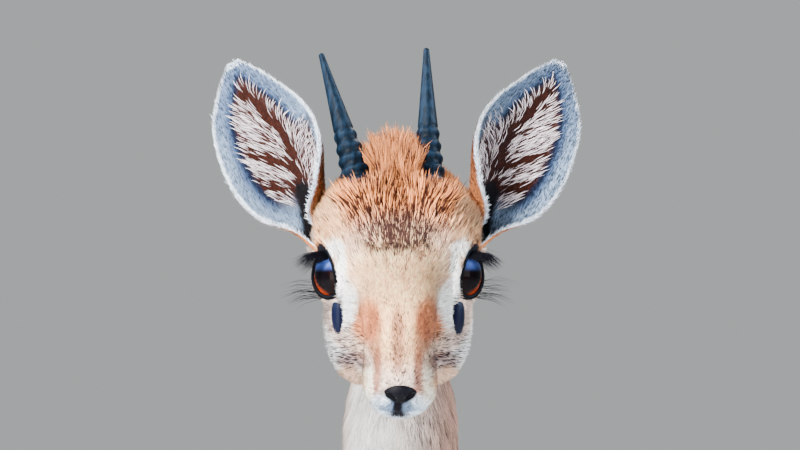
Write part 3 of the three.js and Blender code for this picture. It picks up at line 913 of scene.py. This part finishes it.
coat_finish = Finish("short_coat", 0.8, Specular_IOR_Level=0.06)
grain = coat_finish.noise(900, 3)
grain_low, grain_high = NOISE_RANGE
shade = 0.8 + 0.3 * ((grain - grain_low) / (grain_high - grain_low)).limited(0, 1)
coat_finish.colour(coat_finish.mix(0.6, coat_finish.painted("coat_colour"), shade, "MULTIPLY"))
skin_finish = Finish("skin_under_coat", 0.9, Specular_IOR_Level=0.05)
strands = skin_finish.noise(1400, 4, (1, 1, 0.35))
shade = skin_finish.ramp(strands, (0.8, 0.78, 0.76), (1.05, 1.05, 1.05))
skin_finish.colour(skin_finish.mix(0.8, skin_finish.painted("coat_colour"), shade, "MULTIPLY"))
skin_finish.bumps(strands, 0.4, 0.0008)

ears = {label: ear_shell(side) for label, side in SIDES.items()}
all_points, all_triangles, all_colours = [skin_points], [skin_triangles], [skin_colours]
all_unwraps = [face_unwrap(skin_points, skin_triangles, cell_rows(skin_points, skin_shares))]
for label, (points, triangles, (across, along, depth, flat)) in ears.items():
    all_triangles.append(triangles + sum(len(group) for group in all_points))
    all_points.append(points)
    all_colours.append(ear_paint(across, along, depth, flat))
    all_unwraps.append(face_unwrap(points, triangles, np.full(len(points), EAR_ROWS[label])))
skin = coat_piece("skin", *map(np.concatenate, (all_points, all_triangles, all_colours, all_unwraps)))
keep(skin, skin_finish, "coat", *FLESH_NODES, "ear_left", "ear_right")


# Fur: tufts of hair as small tapered wedges, some with a bend half way
RING = np.array([(-1, 0), (1, 0), (0, 0.7)])
SPIKE_FACES = np.array([(0, 2, 1), (0, 1, 3), (1, 2, 3), (2, 0, 3)])
BENT_FACES = np.array([
    (0, 2, 1), (0, 1, 4), (0, 4, 3), (1, 2, 5), (1, 5, 4),
    (2, 0, 3), (2, 3, 5), (3, 4, 6), (4, 5, 6), (5, 3, 6),
])
PATCH_CORNERS = np.array([(-1, -0.8), (1, -0.8), (0, 1)]) * TUFT_PATCH / 2
BEND_PLACE = 0.55
BEND_WIDTH = 0.72
ROOT_SHADE = 0.62
TIP_SHADE = 1.3


def grow(
    name, roots, outward, lie, length, width, lift, colours, cells, bend=0, root_shade=ROOT_SHADE
):
    """Tufts rooted on a surface, combed along `lie` and lifted off it by an angle in degrees."""
    lie = unit(lie - outward * np.einsum("ij,ij->i", lie, outward)[:, None])
    lift = np.radians(lift)[:, None]
    run = lie * np.cos(lift) + outward * np.sin(lift)
    rise = unit(outward - run * np.einsum("ij,ij->i", outward, run)[:, None])
    side = np.cross(rise, run)
    long, wide = length[:, None] * MM, width[:, None] * MM / 2
    start = roots - outward * wide

    def ring(middle, size):
        return [middle + side * wide * x * size + rise * wide * y * size for x, y in RING]

    tip = roots + run * long - outward * long * bend * 0.5
    rings, shades = [ring(start, 1)], [root_shade] * 3
    patches = [cells + corner for corner in PATCH_CORNERS]
    if bend:
        middle = roots + run * long * BEND_PLACE + outward * long * bend * 0.1
        rings.append(ring(middle, BEND_WIDTH))
        shades += [1.0] * 3
        patches += [cells + corner * 0.6 for corner in PATCH_CORNERS]
    corners = [corner for group in rings for corner in group] + [tip]
    shades, patches = shades + [TIP_SHADE], patches + [cells]
    count, each = len(roots), len(corners)
    corners = np.stack(corners, axis=1).reshape(-1, 3)
    faces = BENT_FACES if bend else SPIKE_FACES
    triangles = (np.arange(count)[:, None, None] * each + faces).reshape(-1, 3)
    painted = (colours[:, None, :] * np.array(shades)[:, None]).clip(0, 1).reshape(-1, 3)
    patches = np.stack(patches, axis=1).reshape(-1, 2)
    return coat_piece(name, corners, triangles, painted, patches[triangles.ravel()])


def scattered(points, triangles, weights, count):
    """Random places spread over triangles in proportion to area and weight."""
    a, b, c = (points[triangles[:, i]] for i in range(3))
    area = np.linalg.norm(np.cross(b - a, c - a), axis=1) * weights[triangles].mean(axis=1)
    total = np.cumsum(area)
    picked = np.searchsorted(total, random.random(count) * total[-1])
    shares = random.dirichlet((1, 1, 1), count)
    return triangles[picked.clip(0, len(triangles) - 1)], shares


def spread(values, corners, shares):
    return np.einsum("ij,ijk->ik", shares, values[corners])


def head_lie(points):
    """Away from the nose, up the forehead, back and down the cheeks, and round the eyes."""
    across, forward, up = to_head(points)
    side = np.sign(across)
    top = step(-6, 10, up)[:, None]
    cheek = unit(on_head(side * 0.25, -1, -0.45))
    lie = cheek * (1 - top) + unit(on_head(across * 0.012, -1, 0.12)) * top
    local, eye_place = eye_directions(points)
    away = local * on_head(side, -1, 1)
    near = (1 - step(1.3, 2.2, eye_place))[:, None]
    return (lie + unit(away) * near * 1.2) @ head_turn.T


def neck_lie(points):
    """Down the neck, and back over the shoulders at its base."""
    _, z = seen_from_front(points)
    base = step(-130, -200, z)
    return np.stack([np.zeros(len(points)), 0.15 + 0.85 * base, 0.6 * base - 1], 1)


def trunk_lie(normals):
    ends = np.abs(normals[:, 1])
    return np.stack([np.zeros(len(normals)), 1 - ends * 0.8, -0.35 - ends], 1)


def coat_lie(points, normals, shares):
    leg = np.tile((0.0, 0.1, -1.0), (len(points), 1))
    lies = (head_lie(points), neck_lie(points), trunk_lie(normals), leg)
    return sum(share[:, None] * unit(lie) for share, lie in zip(shares.T, lies))


def bare(points):
    """1 where no fur grows: eyes, nose, glands, lips' edges and horn roots."""
    across, forward, up = to_head(points)
    _, eye_place = eye_directions(points)
    side = np.abs(across)
    nose = patch((side, forward - NOSE_ROOT[0], up - NOSE_ROOT[1]), (7.1, 6.6, 5.1), 0.05)
    x, z = seen_from_front(points)
    gland = patch((x - GLAND_SEEN[0], z - GLAND_SEEN[1]), (2.9, 7), 0.1) * (forward > 0)
    horn = patch((side - HORN_FOOT[0], forward - HORN_FOOT[1]), (6.6, 7.2), 0.05) * (up > 8)
    lips = (mouth_offset(forward, up) < 0.7) & (forward > 50)
    return np.maximum.reduce([nose, gland, horn, lips, eye_place < 1.1]) > 0.5


# Dark flecks: how dark and wide, and how far chance is a tuft's own or its clump's
FLECK_SHADE = np.array((0.06, 0.045, 0.06))
FLECK_WIDTH = 1.4
OWN_CHANCE = 0.45
CLUMP_CHANCE = 0.55
LIE_SPREAD = 0.16
HASH_WAY = (12.9898, 78.233, 37.719)
HASH_SCALE = 43758.5453


def clump_share(points, size):
    """A share from 0 to 1 that tufts of one small clump have in common."""
    cell = np.floor(points / (size * MM)) @ HASH_WAY
    value = np.sin(cell) * HASH_SCALE
    return value - np.floor(value)


LIE_ROUNDS = 16
skin_lie = coat_lie(outer_points, outer_normals, skin_shares)
off_skin = np.einsum("ij,ij->i", skin_lie, outer_normals)[:, None]
skin_lie = skin_lie - outer_normals * off_skin
skin_lie = unit(evened(skin_lie, skin_edges, LIE_ROUNDS))
skin_bare = bare(outer_points)


def furred(
    name, weights, count, length, width, lift, bend=0, flecks=0, root_shade=ROOT_SHADE, clump=0.6
):
    """A piece of coat: how many tufts, their size in mm and lift in degrees, and how many are dark."""
    corners, shares = scattered(skin_points, skin_triangles, weights * ~skin_bare, count)
    roots = spread(skin_points, corners, shares)
    outward = unit(spread(skin_normals, corners, shares))
    lie = spread(skin_lie, corners, shares) + random.normal(0, LIE_SPREAD, (count, 3))
    common = clump_share(roots, clump)
    shade = random.normal(1, 0.15, count) + 0.7 * (clump_share(roots, 2 * clump) - 0.5)
    colours = spread(skin_colours, corners, shares) * shade[:, None].clip(0.4, 1.5)

    def at_roots(values):
        return spread(np.broadcast_to(values, len(skin_points))[:, None], corners, shares)[:, 0]

    dark = OWN_CHANCE * random.random(count) + CLUMP_CHANCE * common < at_roots(flecks)
    colours = np.where(dark[:, None], colours * FLECK_SHADE, colours)
    cells = unwrapped(roots, outward, cell_rows(roots, spread(skin_shares, corners, shares)))
    vary = random.normal(1, 0.18, count).clip(0.5, 1.6)
    lengths = at_roots(length) * vary
    widths = at_roots(width) * vary * np.where(dark, FLECK_WIDTH, 1)
    lifts = at_roots(lift)
    tufts = grow(name, roots, outward, lie, lengths, widths, lifts, colours, cells, bend, root_shade)
    keep(tufts, coat_finish, "coat")


across, forward, up = to_head(outer_points)
side = np.abs(across)
_, eye_place = eye_directions(outer_points)
head_share, neck_share, trunk_share, leg_share = skin_shares.T
top = step(0, 10, up) * step(8, -4, forward)
muzzle = step(18, 44, forward)
jowl = step(10, 20, side) * step(0, -12, up) * step(20, 4, forward)
face_length = 3 - 1.3 * muzzle + 2.4 * top + jowl
face_length = np.where(eye_place < 1.6, 1.7, face_length)
face_lift = 17 + 8 * top - 3 * muzzle
face_x, face_z = seen_from_front(outer_points)

# Where dark flecks gather on the face: middle across and up, half sizes and the share that is dark
FLECK_MARKS = [
    ((0, 21), (18, 13), 0.5),
    ((0, 8), (14, 8), 0.15),
    ((20, 14), (12, 14), 0.08),
    ((0, -26), (4, 14), 0.16),
    ((20, -26), (8, 8), 0.26),
    ((16.5, -32), (6.2, 3.4), 0.2),
    ((0, -38), (8, 3), 0.1),
]
face_flecks = 0.09 + 0.05 * top
for (middle, height), radii, strength in FLECK_MARKS:
    face_flecks = face_flecks + strength * patch((face_x - middle, face_z - height), radii)
front = step(-52, -38, forward)
face_weight = head_share * (0.35 + 0.65 * front) * (1 + 0.6 * muzzle)
FULL_PIECE = 49000
for number in (1, 2):
    furred(
        f"face_fur_{number}", face_weight, FULL_PIECE, face_length, 0.44, face_lift,
        flecks=face_flecks,
    )
crown_top = patch((across, forward + 24, up - 30), (17, 13, 10), 0.6) * head_share
horn_foot = patch((side - 11, forward + 9), (10, 8), 0.6) * step(6, 12, up) * head_share
brow = patch((across, forward + 14, up - 24), (27, 22, 16), 0.8) * head_share
standing = np.maximum(crown_top, 0.85 * horn_foot)
brow_length = 3.4 + 1.6 * brow + 4 * standing
furred(
    "brow_fur", brow, 28000, brow_length, 0.42, 15 + 24 * standing,
    flecks=face_flecks, root_shade=0.45,
)
furred(
    "crown_fur", standing**2, 10000, 5 + 7 * standing, 0.4, 22 + 24 * standing,
    bend=0.2, flecks=0.1 + 0.5 * face_flecks, root_shade=0.4,
)
height = outer_points[:, 2] / MM
body_flecks = (0.08 + 0.2 * step(300, 360, height)) * step(0.6, 0.4, skin_colours[:, 2])
furred(
    "neck_fur", neck_share, FULL_PIECE, 7.5, 0.5, 10,
    flecks=body_flecks * 0.6, root_shade=0.8, clump=1.5,
)
for number in (1, 2):
    furred(
        f"trunk_fur_{number}", trunk_share, FULL_PIECE, 9.5, 0.95, 10,
        flecks=body_flecks, root_shade=0.8, clump=2.2,
    )
leg_length = 3 + 2.6 * step(120, 240, height)
furred("leg_fur", leg_share, 38000, leg_length, 0.8, 11, flecks=0.06, root_shade=0.74)


# Ear fur: a fine nap, a pale fringe round the edge and long white hair inside
EAR_FLECK = 0.22


def ear_fur(label, side):
    points, triangles, (across, along, depth, flat) = ears[label]
    normals = normals_of(points, triangles)
    colours = ear_paint(across, along, depth, flat)
    tip = points[(along > 0.98) & (np.abs(across) < 0.1)].mean(axis=0)
    tip_way = unit(tip - points[along < 0.02].mean(axis=0))
    outward_way = head_direction(side, 0, 0)
    height, reach = flat[:, 2], flat[:, 0]
    from_edge = ear_outline(along) - np.abs(reach - ear_bow(along))

    def tufts(name, weights, count, length, width, lift, lean, bend=0, colour=None, flecks=0):
        corners, shares = scattered(points, triangles, weights, count)
        roots = spread(points, corners, shares)
        outward = unit(spread(normals, corners, shares))
        leaning = outward_way * spread(lean[:, None], corners, shares)
        lie = tip_way + leaning + random.normal(0, LIE_SPREAD, (count, 3))
        painted = spread(colours, corners, shares) if colour is None else np.tile(colour, (count, 1))
        inset = spread(from_edge[:, None], corners, shares)[:, 0]
        dark = random.random(count) < flecks * step(8.5, 5, inset)
        painted = painted * random.normal(1, 0.16, (count, 1)).clip(0.4, 1.4)
        painted = np.where(dark[:, None], painted * EAR_FLECK, painted)
        cells = unwrapped(roots, outward, np.full(count, EAR_ROWS[label]))
        vary = random.normal(1, 0.2, count).clip(0.5, 1.6)
        lifts = np.full(count, float(lift))
        made = grow(
            name, roots, outward, lie, length * vary, width * vary, lifts, painted, cells, bend
        )
        keep(made, coat_finish, "coat")

    open_part = step(0.04, 0.12, along)
    edge = np.maximum(step(0.95, 0.985, np.abs(across)), step(0.98, 1, along)) * open_part
    inside = (depth > 0.5) * open_part
    no_lean = np.zeros(len(points))
    tufts(f"ear_nap_{label}", open_part, 15000, 2.0, 0.4, 12, no_lean, flecks=0.4)
    tufts(f"ear_fringe_{label}", edge, 3000, 2.0, 0.3, 24, no_lean)
    rimless = (1 - ear_rim(along, reach)) * step(1.5, 3.5, from_edge)
    clear = inside * np.maximum(step(8.6, 11.5, from_edge), 0.8 * rimless)
    clear = clear * step(0.8, 2.2, ear_streaks(height, reach))
    clear = clear * step(2.5, 4.5, ear_canal(height, reach))
    stem = np.interp(height, (23, 30, 45, 65), (-2.3, -6, -6.5, 1.5))
    fan = 1.5 * np.clip((reach - stem) / 6, -1, 1)
    tufts(f"ear_inner_hair_{label}", clear, 680, 5, 0.22, 12, fan, 0.4, EAR_WHITE)


for label, side in SIDES.items():
    ear_fur(label, side)


# Eyes: dark glossy balls with a low brown iris, and the sky's blue reflection painted into their colour
# above
def sided(local, side):
    return local * on_head(side, -1, 1)


PUPIL = (0.8, 0.42)


def eye_colours(directions, heights):
    along_sight = np.maximum(directions @ gaze, 0.05)
    x, y = directions @ eye_across / along_sight, directions @ eye_rise / along_sight
    # painted reflection: the sky's blue laid into the eye's colour where it faces upward
    painted_reflection = step(0.1, 0.5, heights) * step(0.85, 0.55, heights)
    colour = np.tile(EYE_BROWN, (len(directions), 1))
    colour = lay(colour, IRIS_ORANGE, patch((x, y + 0.6), (0.9, 0.32), 0.5))
    colour = lay(colour, PUPIL_BLACK, patch((x, y), PUPIL, 0.3))
    colour = lay(colour, PAINTED_SKY_REFLECTION, 0.62 * painted_reflection)
    return lay(colour, LID_SHADOW, step(1.0, 1.2, np.hypot(x, y)))


eye_finish = Finish("wet_eye", 0.11, Specular_IOR_Level=0.015, Coat_Weight=0.025, Coat_Roughness=0.05)
eye_finish.colour(eye_finish.painted("eye_colour"))
rim_finish = Finish("black_lid_rim", 0.6, Base_Color=(*tone(4, 4, 6), 1), Specular_IOR_Level=0.02)
lash_finish = Finish("dark_lashes", 0.6, Base_Color=(*tone(8, 8, 14), 1), Specular_IOR_Level=0.03)


def eyeball(label, side):
    bm = bmesh.new()
    bmesh.ops.create_uvsphere(bm, u_segments=72, v_segments=48, radius=EYE_RADIUS * MM)
    sight = Vector(sided(gaze, side) @ head_turn.T)
    turn = Vector((0, 0, 1)).rotation_difference(sight).to_matrix().to_4x4()
    centre = Matrix.Translation(from_head(on_head(side * EYE_SPREAD, 0, 0)))
    bmesh.ops.transform(bm, matrix=centre @ turn, verts=bm.verts)
    ball = piece_from(f"eyeball_{label}", bm)
    points = points_of(ball.data)
    across, forward, up = to_head(points)
    directions = unit(on_head(side * across - EYE_SPREAD, forward, up))
    heights = (directions @ head_turn.T)[:, 2]
    paint_points(ball.data, "eye_colour", eye_colours(directions, heights))
    keep(ball, eye_finish, "eye", f"eye_{label}")


def on_eye(x, y, radius, side):
    """Points on a ball round the eye, from slopes against the line of sight."""
    x, y = np.asarray(x, float)[:, None], np.asarray(y, float)[:, None]
    local = unit(gaze + eye_across * x + eye_rise * y) * radius
    return from_head(sided(local, side) + on_head(side * EYE_SPREAD, 0, 0))


def closed_tube(name, points, radius):
    data = bpy.data.curves.new(name, "CURVE")
    data.dimensions = "3D"
    data.bevel_depth = radius * MM
    data.bevel_resolution = 4
    line = data.splines.new("POLY")
    line.points.add(len(points) - 1)
    for spot, place in zip(line.points, points):
        spot.co = (*place, 1)
    line.use_cyclic_u = True
    mesh = applied(placed(name, data))
    mesh.shade_smooth()
    return placed(name, mesh)


RIM_RADIUS = 0.9
RIM_REACH = 1.03
RIM_RISE = 0.45


def lid_rim(label, side):
    x, y = lid_outline(40).T * RIM_REACH
    points = on_eye(x, y, EYE_RADIUS + RIM_RISE, side)
    keep(closed_tube(f"lid_rim_{label}", points, RIM_RADIUS), rim_finish, "bare_skin")


# Lashes: count, part of the lid's outline, length, way they point (out, forward, up)
LASH_ROWS = {
    "upper": (220, (0.27, 0.44), (9, 14), (1.0, 0.15, -0.4)),
    "lower": (34, (0.7, 0.88), (9, 15), (1.0, 0.2, -0.08)),
}
LASH_WIDTH = 0.34
LASH_REACH = 1.08
LASH_RISE = 0.9
LASH_SPREAD = 0.12
LASH_BEND = 0.2


def lashes(label, side):
    outline = lid_outline(200)
    for row, (count, part, lengths, way) in LASH_ROWS.items():
        spot = (random.uniform(*part, count) * len(outline)).astype(int)
        x, y = outline[spot].T * LASH_REACH
        roots = on_eye(x, y, EYE_RADIUS + LASH_RISE, side)
        out, ahead, rise = way
        lie = unit((side * out, -ahead, rise) + random.normal(0, LASH_SPREAD, (count, 3)))
        outward = unit((0, 0, 1) - lie * lie[:, 2:])
        length = random.uniform(*lengths, count)
        cells = unwrapped(roots, outward, np.zeros(count, int))
        made = grow(
            f"{row}_lashes_{label}", roots, outward, lie, length, np.full(count, LASH_WIDTH),
            np.zeros(count), np.tile(BARE_DARK, (count, 1)), cells, LASH_BEND,
        )
        keep(made, lash_finish, "coat")


# Glands, nose pad, horns and hooves
def bead(name, matrix, finish, *replaced):
    bm = bmesh.new()
    bmesh.ops.create_uvsphere(bm, u_segments=40, v_segments=24, radius=MM)
    bmesh.ops.transform(bm, matrix=matrix, verts=bm.verts)
    piece = piece_from(name, bm)
    keep(piece, finish, "bare_skin", *replaced)
    return piece


GLAND_SIZE = (3.1, 2.2, 7.2)
GLAND_SUNK = 0.2
skin_tree = BVHTree.FromPolygons(skin_points.tolist(), skin_triangles.tolist())


def gland_matrix(side):
    """Set flat on the skin where a look from in front meets it."""
    start = head_origin + np.array((side * GLAND_SEEN[0], -300, GLAND_SEEN[1])) * MM
    place, normal, _, _ = skin_tree.ray_cast(Vector(start), Vector((0, 1, 0)))
    upright = (Vector((0, 0, 1)) - normal * normal.z).normalized()
    turn = Matrix((upright.cross(normal), normal, upright)).transposed().to_4x4()
    middle = Matrix.Translation(place - normal * GLAND_SUNK * MM)
    return middle @ turn @ Matrix.Diagonal((*GLAND_SIZE, 1))


bare_finish = Finish("bare_dark_skin", 0.4, Specular_IOR_Level=0.04)
pebbles = bare_finish.noise(1500, 4)
bare_finish.colour(bare_finish.ramp(pebbles, tone(2, 2, 4), tone(9, 9, 15)))
bare_finish.bumps(pebbles, 0.5, 0.0005)
gland_finish = Finish("gland_skin", 0.4, Base_Color=(*tone(3, 7, 28), 1), Specular_IOR_Level=0.07)

for label, side in SIDES.items():
    eyeball(label, side)
    lid_rim(label, side)
    lashes(label, side)
    bead(f"scent_gland_{label}", gland_matrix(side), gland_finish, f"gland_{label}")

NOSE_MIDDLE = (0, 65.6, -1.9)
NOSE_SIZE = (6.4, 4.9, 4.5)
NOSE_BACK = 64
turned = Matrix(head_turn).to_4x4() @ Matrix.Diagonal((*NOSE_SIZE, 1))
nose_place = Matrix.Translation(from_head(on_head(*NOSE_MIDDLE)))
nose = bead("nose_skin", nose_place @ turned, bare_finish, "nose_pad")
across, forward, up = to_head(points_of(nose.data))
narrowing = 1 - 0.5 * step(-2.6, -5.4, up)
nostril = patch((np.abs(across) - 3.9, forward - 69, up + 2.1), (1.8, 3.4, 1.3), 0.5)
groove = patch((across, forward - 70, up + 4), (0.8, 4, 3.4), 0.7)
pulled = 1 - 0.38 * nostril - 0.12 * groove
pulled_forward = NOSE_BACK + (forward - NOSE_BACK) * pulled
nose_points = from_head(on_head(across * narrowing * pulled, pulled_forward, up))
nose.data.vertices.foreach_set("co", nose_points.astype(np.float32).ravel())

HORN_LENGTH = 62
HORN_RADIUS = 7
HORN_SUNK = 6
HORN_RINGS = {"count": 5, "first": 8, "pitch": 5, "height": 0.65}
RING_GROOVE = -0.4
HORN_MERGED = 1e-7

# Each horn's root on the head and how far its tip leans across
HORN_ROOTS = {"left": ((11.6, -17, 20), -0.01), "right": ((-12, -17, 20), -0.27)}
horn_finish = Finish("ringed_horn", 0.5, Specular_IOR_Level=0.035)
lines = horn_finish.noise(700, 4, (1, 1, 0.12))
# near-black horn, with the sky's blue reflection painted into its colour
strands = horn_finish.ramp(lines, tone(2, 6, 12), tone(14, 30, 46))
# the painted groove shade darkens the horn's colour in the grooves between its rings
horn_finish.colour(horn_finish.mix(1, strands, horn_finish.painted("painted_groove_shade"), "MULTIPLY"))
horn_finish.bumps(lines, 0.35, 0.0006)


def horn_ring(height):
    """A wave along the ringed part of the horn, 1 on a ring and below 0 in a groove."""
    ring = (height - HORN_RINGS["first"]) / HORN_RINGS["pitch"]
    inside = (ring > -0.5) & (ring < HORN_RINGS["count"] - 0.5)
    return np.where(inside, np.cos(2 * math.pi * ring) * (1 - 0.12 * ring), 0)


def horn_radius(height):
    taper = 1 - 0.86 * (np.maximum(height, 0) / HORN_LENGTH) ** 0.9
    return HORN_RADIUS * taper + horn_ring(height).clip(RING_GROOVE, 1) * HORN_RINGS["height"]


def horn(label):
    root, lean = HORN_ROOTS[label]
    heights = np.linspace(-HORN_SUNK, HORN_LENGTH, 110)
    radii = horn_radius(heights)
    radii[0], radii[-1] = 0, 0
    bm = bmesh.new()
    line = [bm.verts.new((radius * MM, 0, height * MM)) for radius, height in zip(radii, heights)]
    edges = [bm.edges.new(pair) for pair in zip(line[:-1], line[1:])]
    bmesh.ops.spin(
        bm, geom=line + edges, axis=(0, 0, 1), cent=(0, 0, 0), angle=2 * math.pi, steps=40,
        use_merge=True,
    )
    bmesh.ops.remove_doubles(bm, verts=bm.verts, dist=HORN_MERGED)
    bmesh.ops.recalc_face_normals(bm, faces=bm.faces)
    heights = np.array([vertex.co.z for vertex in bm.verts]) / MM
    for vertex in bm.verts:
        rise = vertex.co.z / MM / HORN_LENGTH
        vertex.co.y = vertex.co.y * 1.08 - 2.2 * MM * rise * rise
    axis = Vector(head_direction(lean, -0.86, 0.5)).normalized()
    turn = Vector((0, 0, 1)).rotation_difference(axis).to_matrix().to_4x4()
    place = Matrix.Translation(from_head(np.array(on_head(*root))))
    bmesh.ops.transform(bm, matrix=place @ turn, verts=bm.verts)
    piece = piece_from(f"ringed_horn_{label}", bm)
    # painted shade: grooves between the rings darker and the crests a touch lighter, and the lower horn
    # darker towards its base
    groove = horn_ring(heights).clip(RING_GROOVE, -RING_GROOVE)
    base = step(40, 24, heights)
    shades = 1 + base * (0.9 * groove - 0.3)
    paint_points(piece.data, "painted_groove_shade", np.repeat(shades[:, None], 3, axis=1), "FLOAT_COLOR")
    keep(piece, horn_finish, "horn", f"horn_{label}")


for label in SIDES:
    horn(label)

hoof_finish = Finish("dark_hoof", 0.42)
layers = hoof_finish.noise(300, 3, (1, 1, 3))
hoof_finish.colour(hoof_finish.ramp(layers, tone(30, 27, 27), tone(54, 48, 46)))
FLAT_ANGLE = math.radians(4)
HOOF_ROUNDING = 0.0006


def rounded(node):
    bm = bmesh.new()
    bm.from_mesh(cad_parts[node].data)
    bmesh.ops.remove_doubles(bm, verts=bm.verts, dist=MERGED)
    bmesh.ops.dissolve_limit(bm, angle_limit=FLAT_ANGLE, verts=bm.verts, edges=bm.edges)
    bmesh.ops.bevel(
        bm, geom=list(bm.edges), offset=HOOF_ROUNDING, offset_type="OFFSET", affect="EDGES",
        segments=2, profile=0.5, material=-1, clamp_overlap=True,
    )
    keep(piece_from(f"{node}_horn", bm), hoof_finish, "hoof", node)


for end in ("fore", "hind"):
    for label in SIDES:
        for part in ("hoof_inner", "hoof_outer", "dewclaw_inner", "dewclaw_outer"):
            rounded(f"{end}_{label}_{part}")

# Floor
FLOOR_RADIUS = 6
bm = bmesh.new()
bmesh.ops.create_circle(bm, cap_ends=True, radius=FLOOR_RADIUS, segments=96)
floor = piece_from("floor", bm)
floor_finish = Finish("pale_floor", 0.9, Base_Color=(*tone(243, 245, 246), 1), Specular_IOR_Level=0.1)
floor.data.materials.append(floor_finish.material)
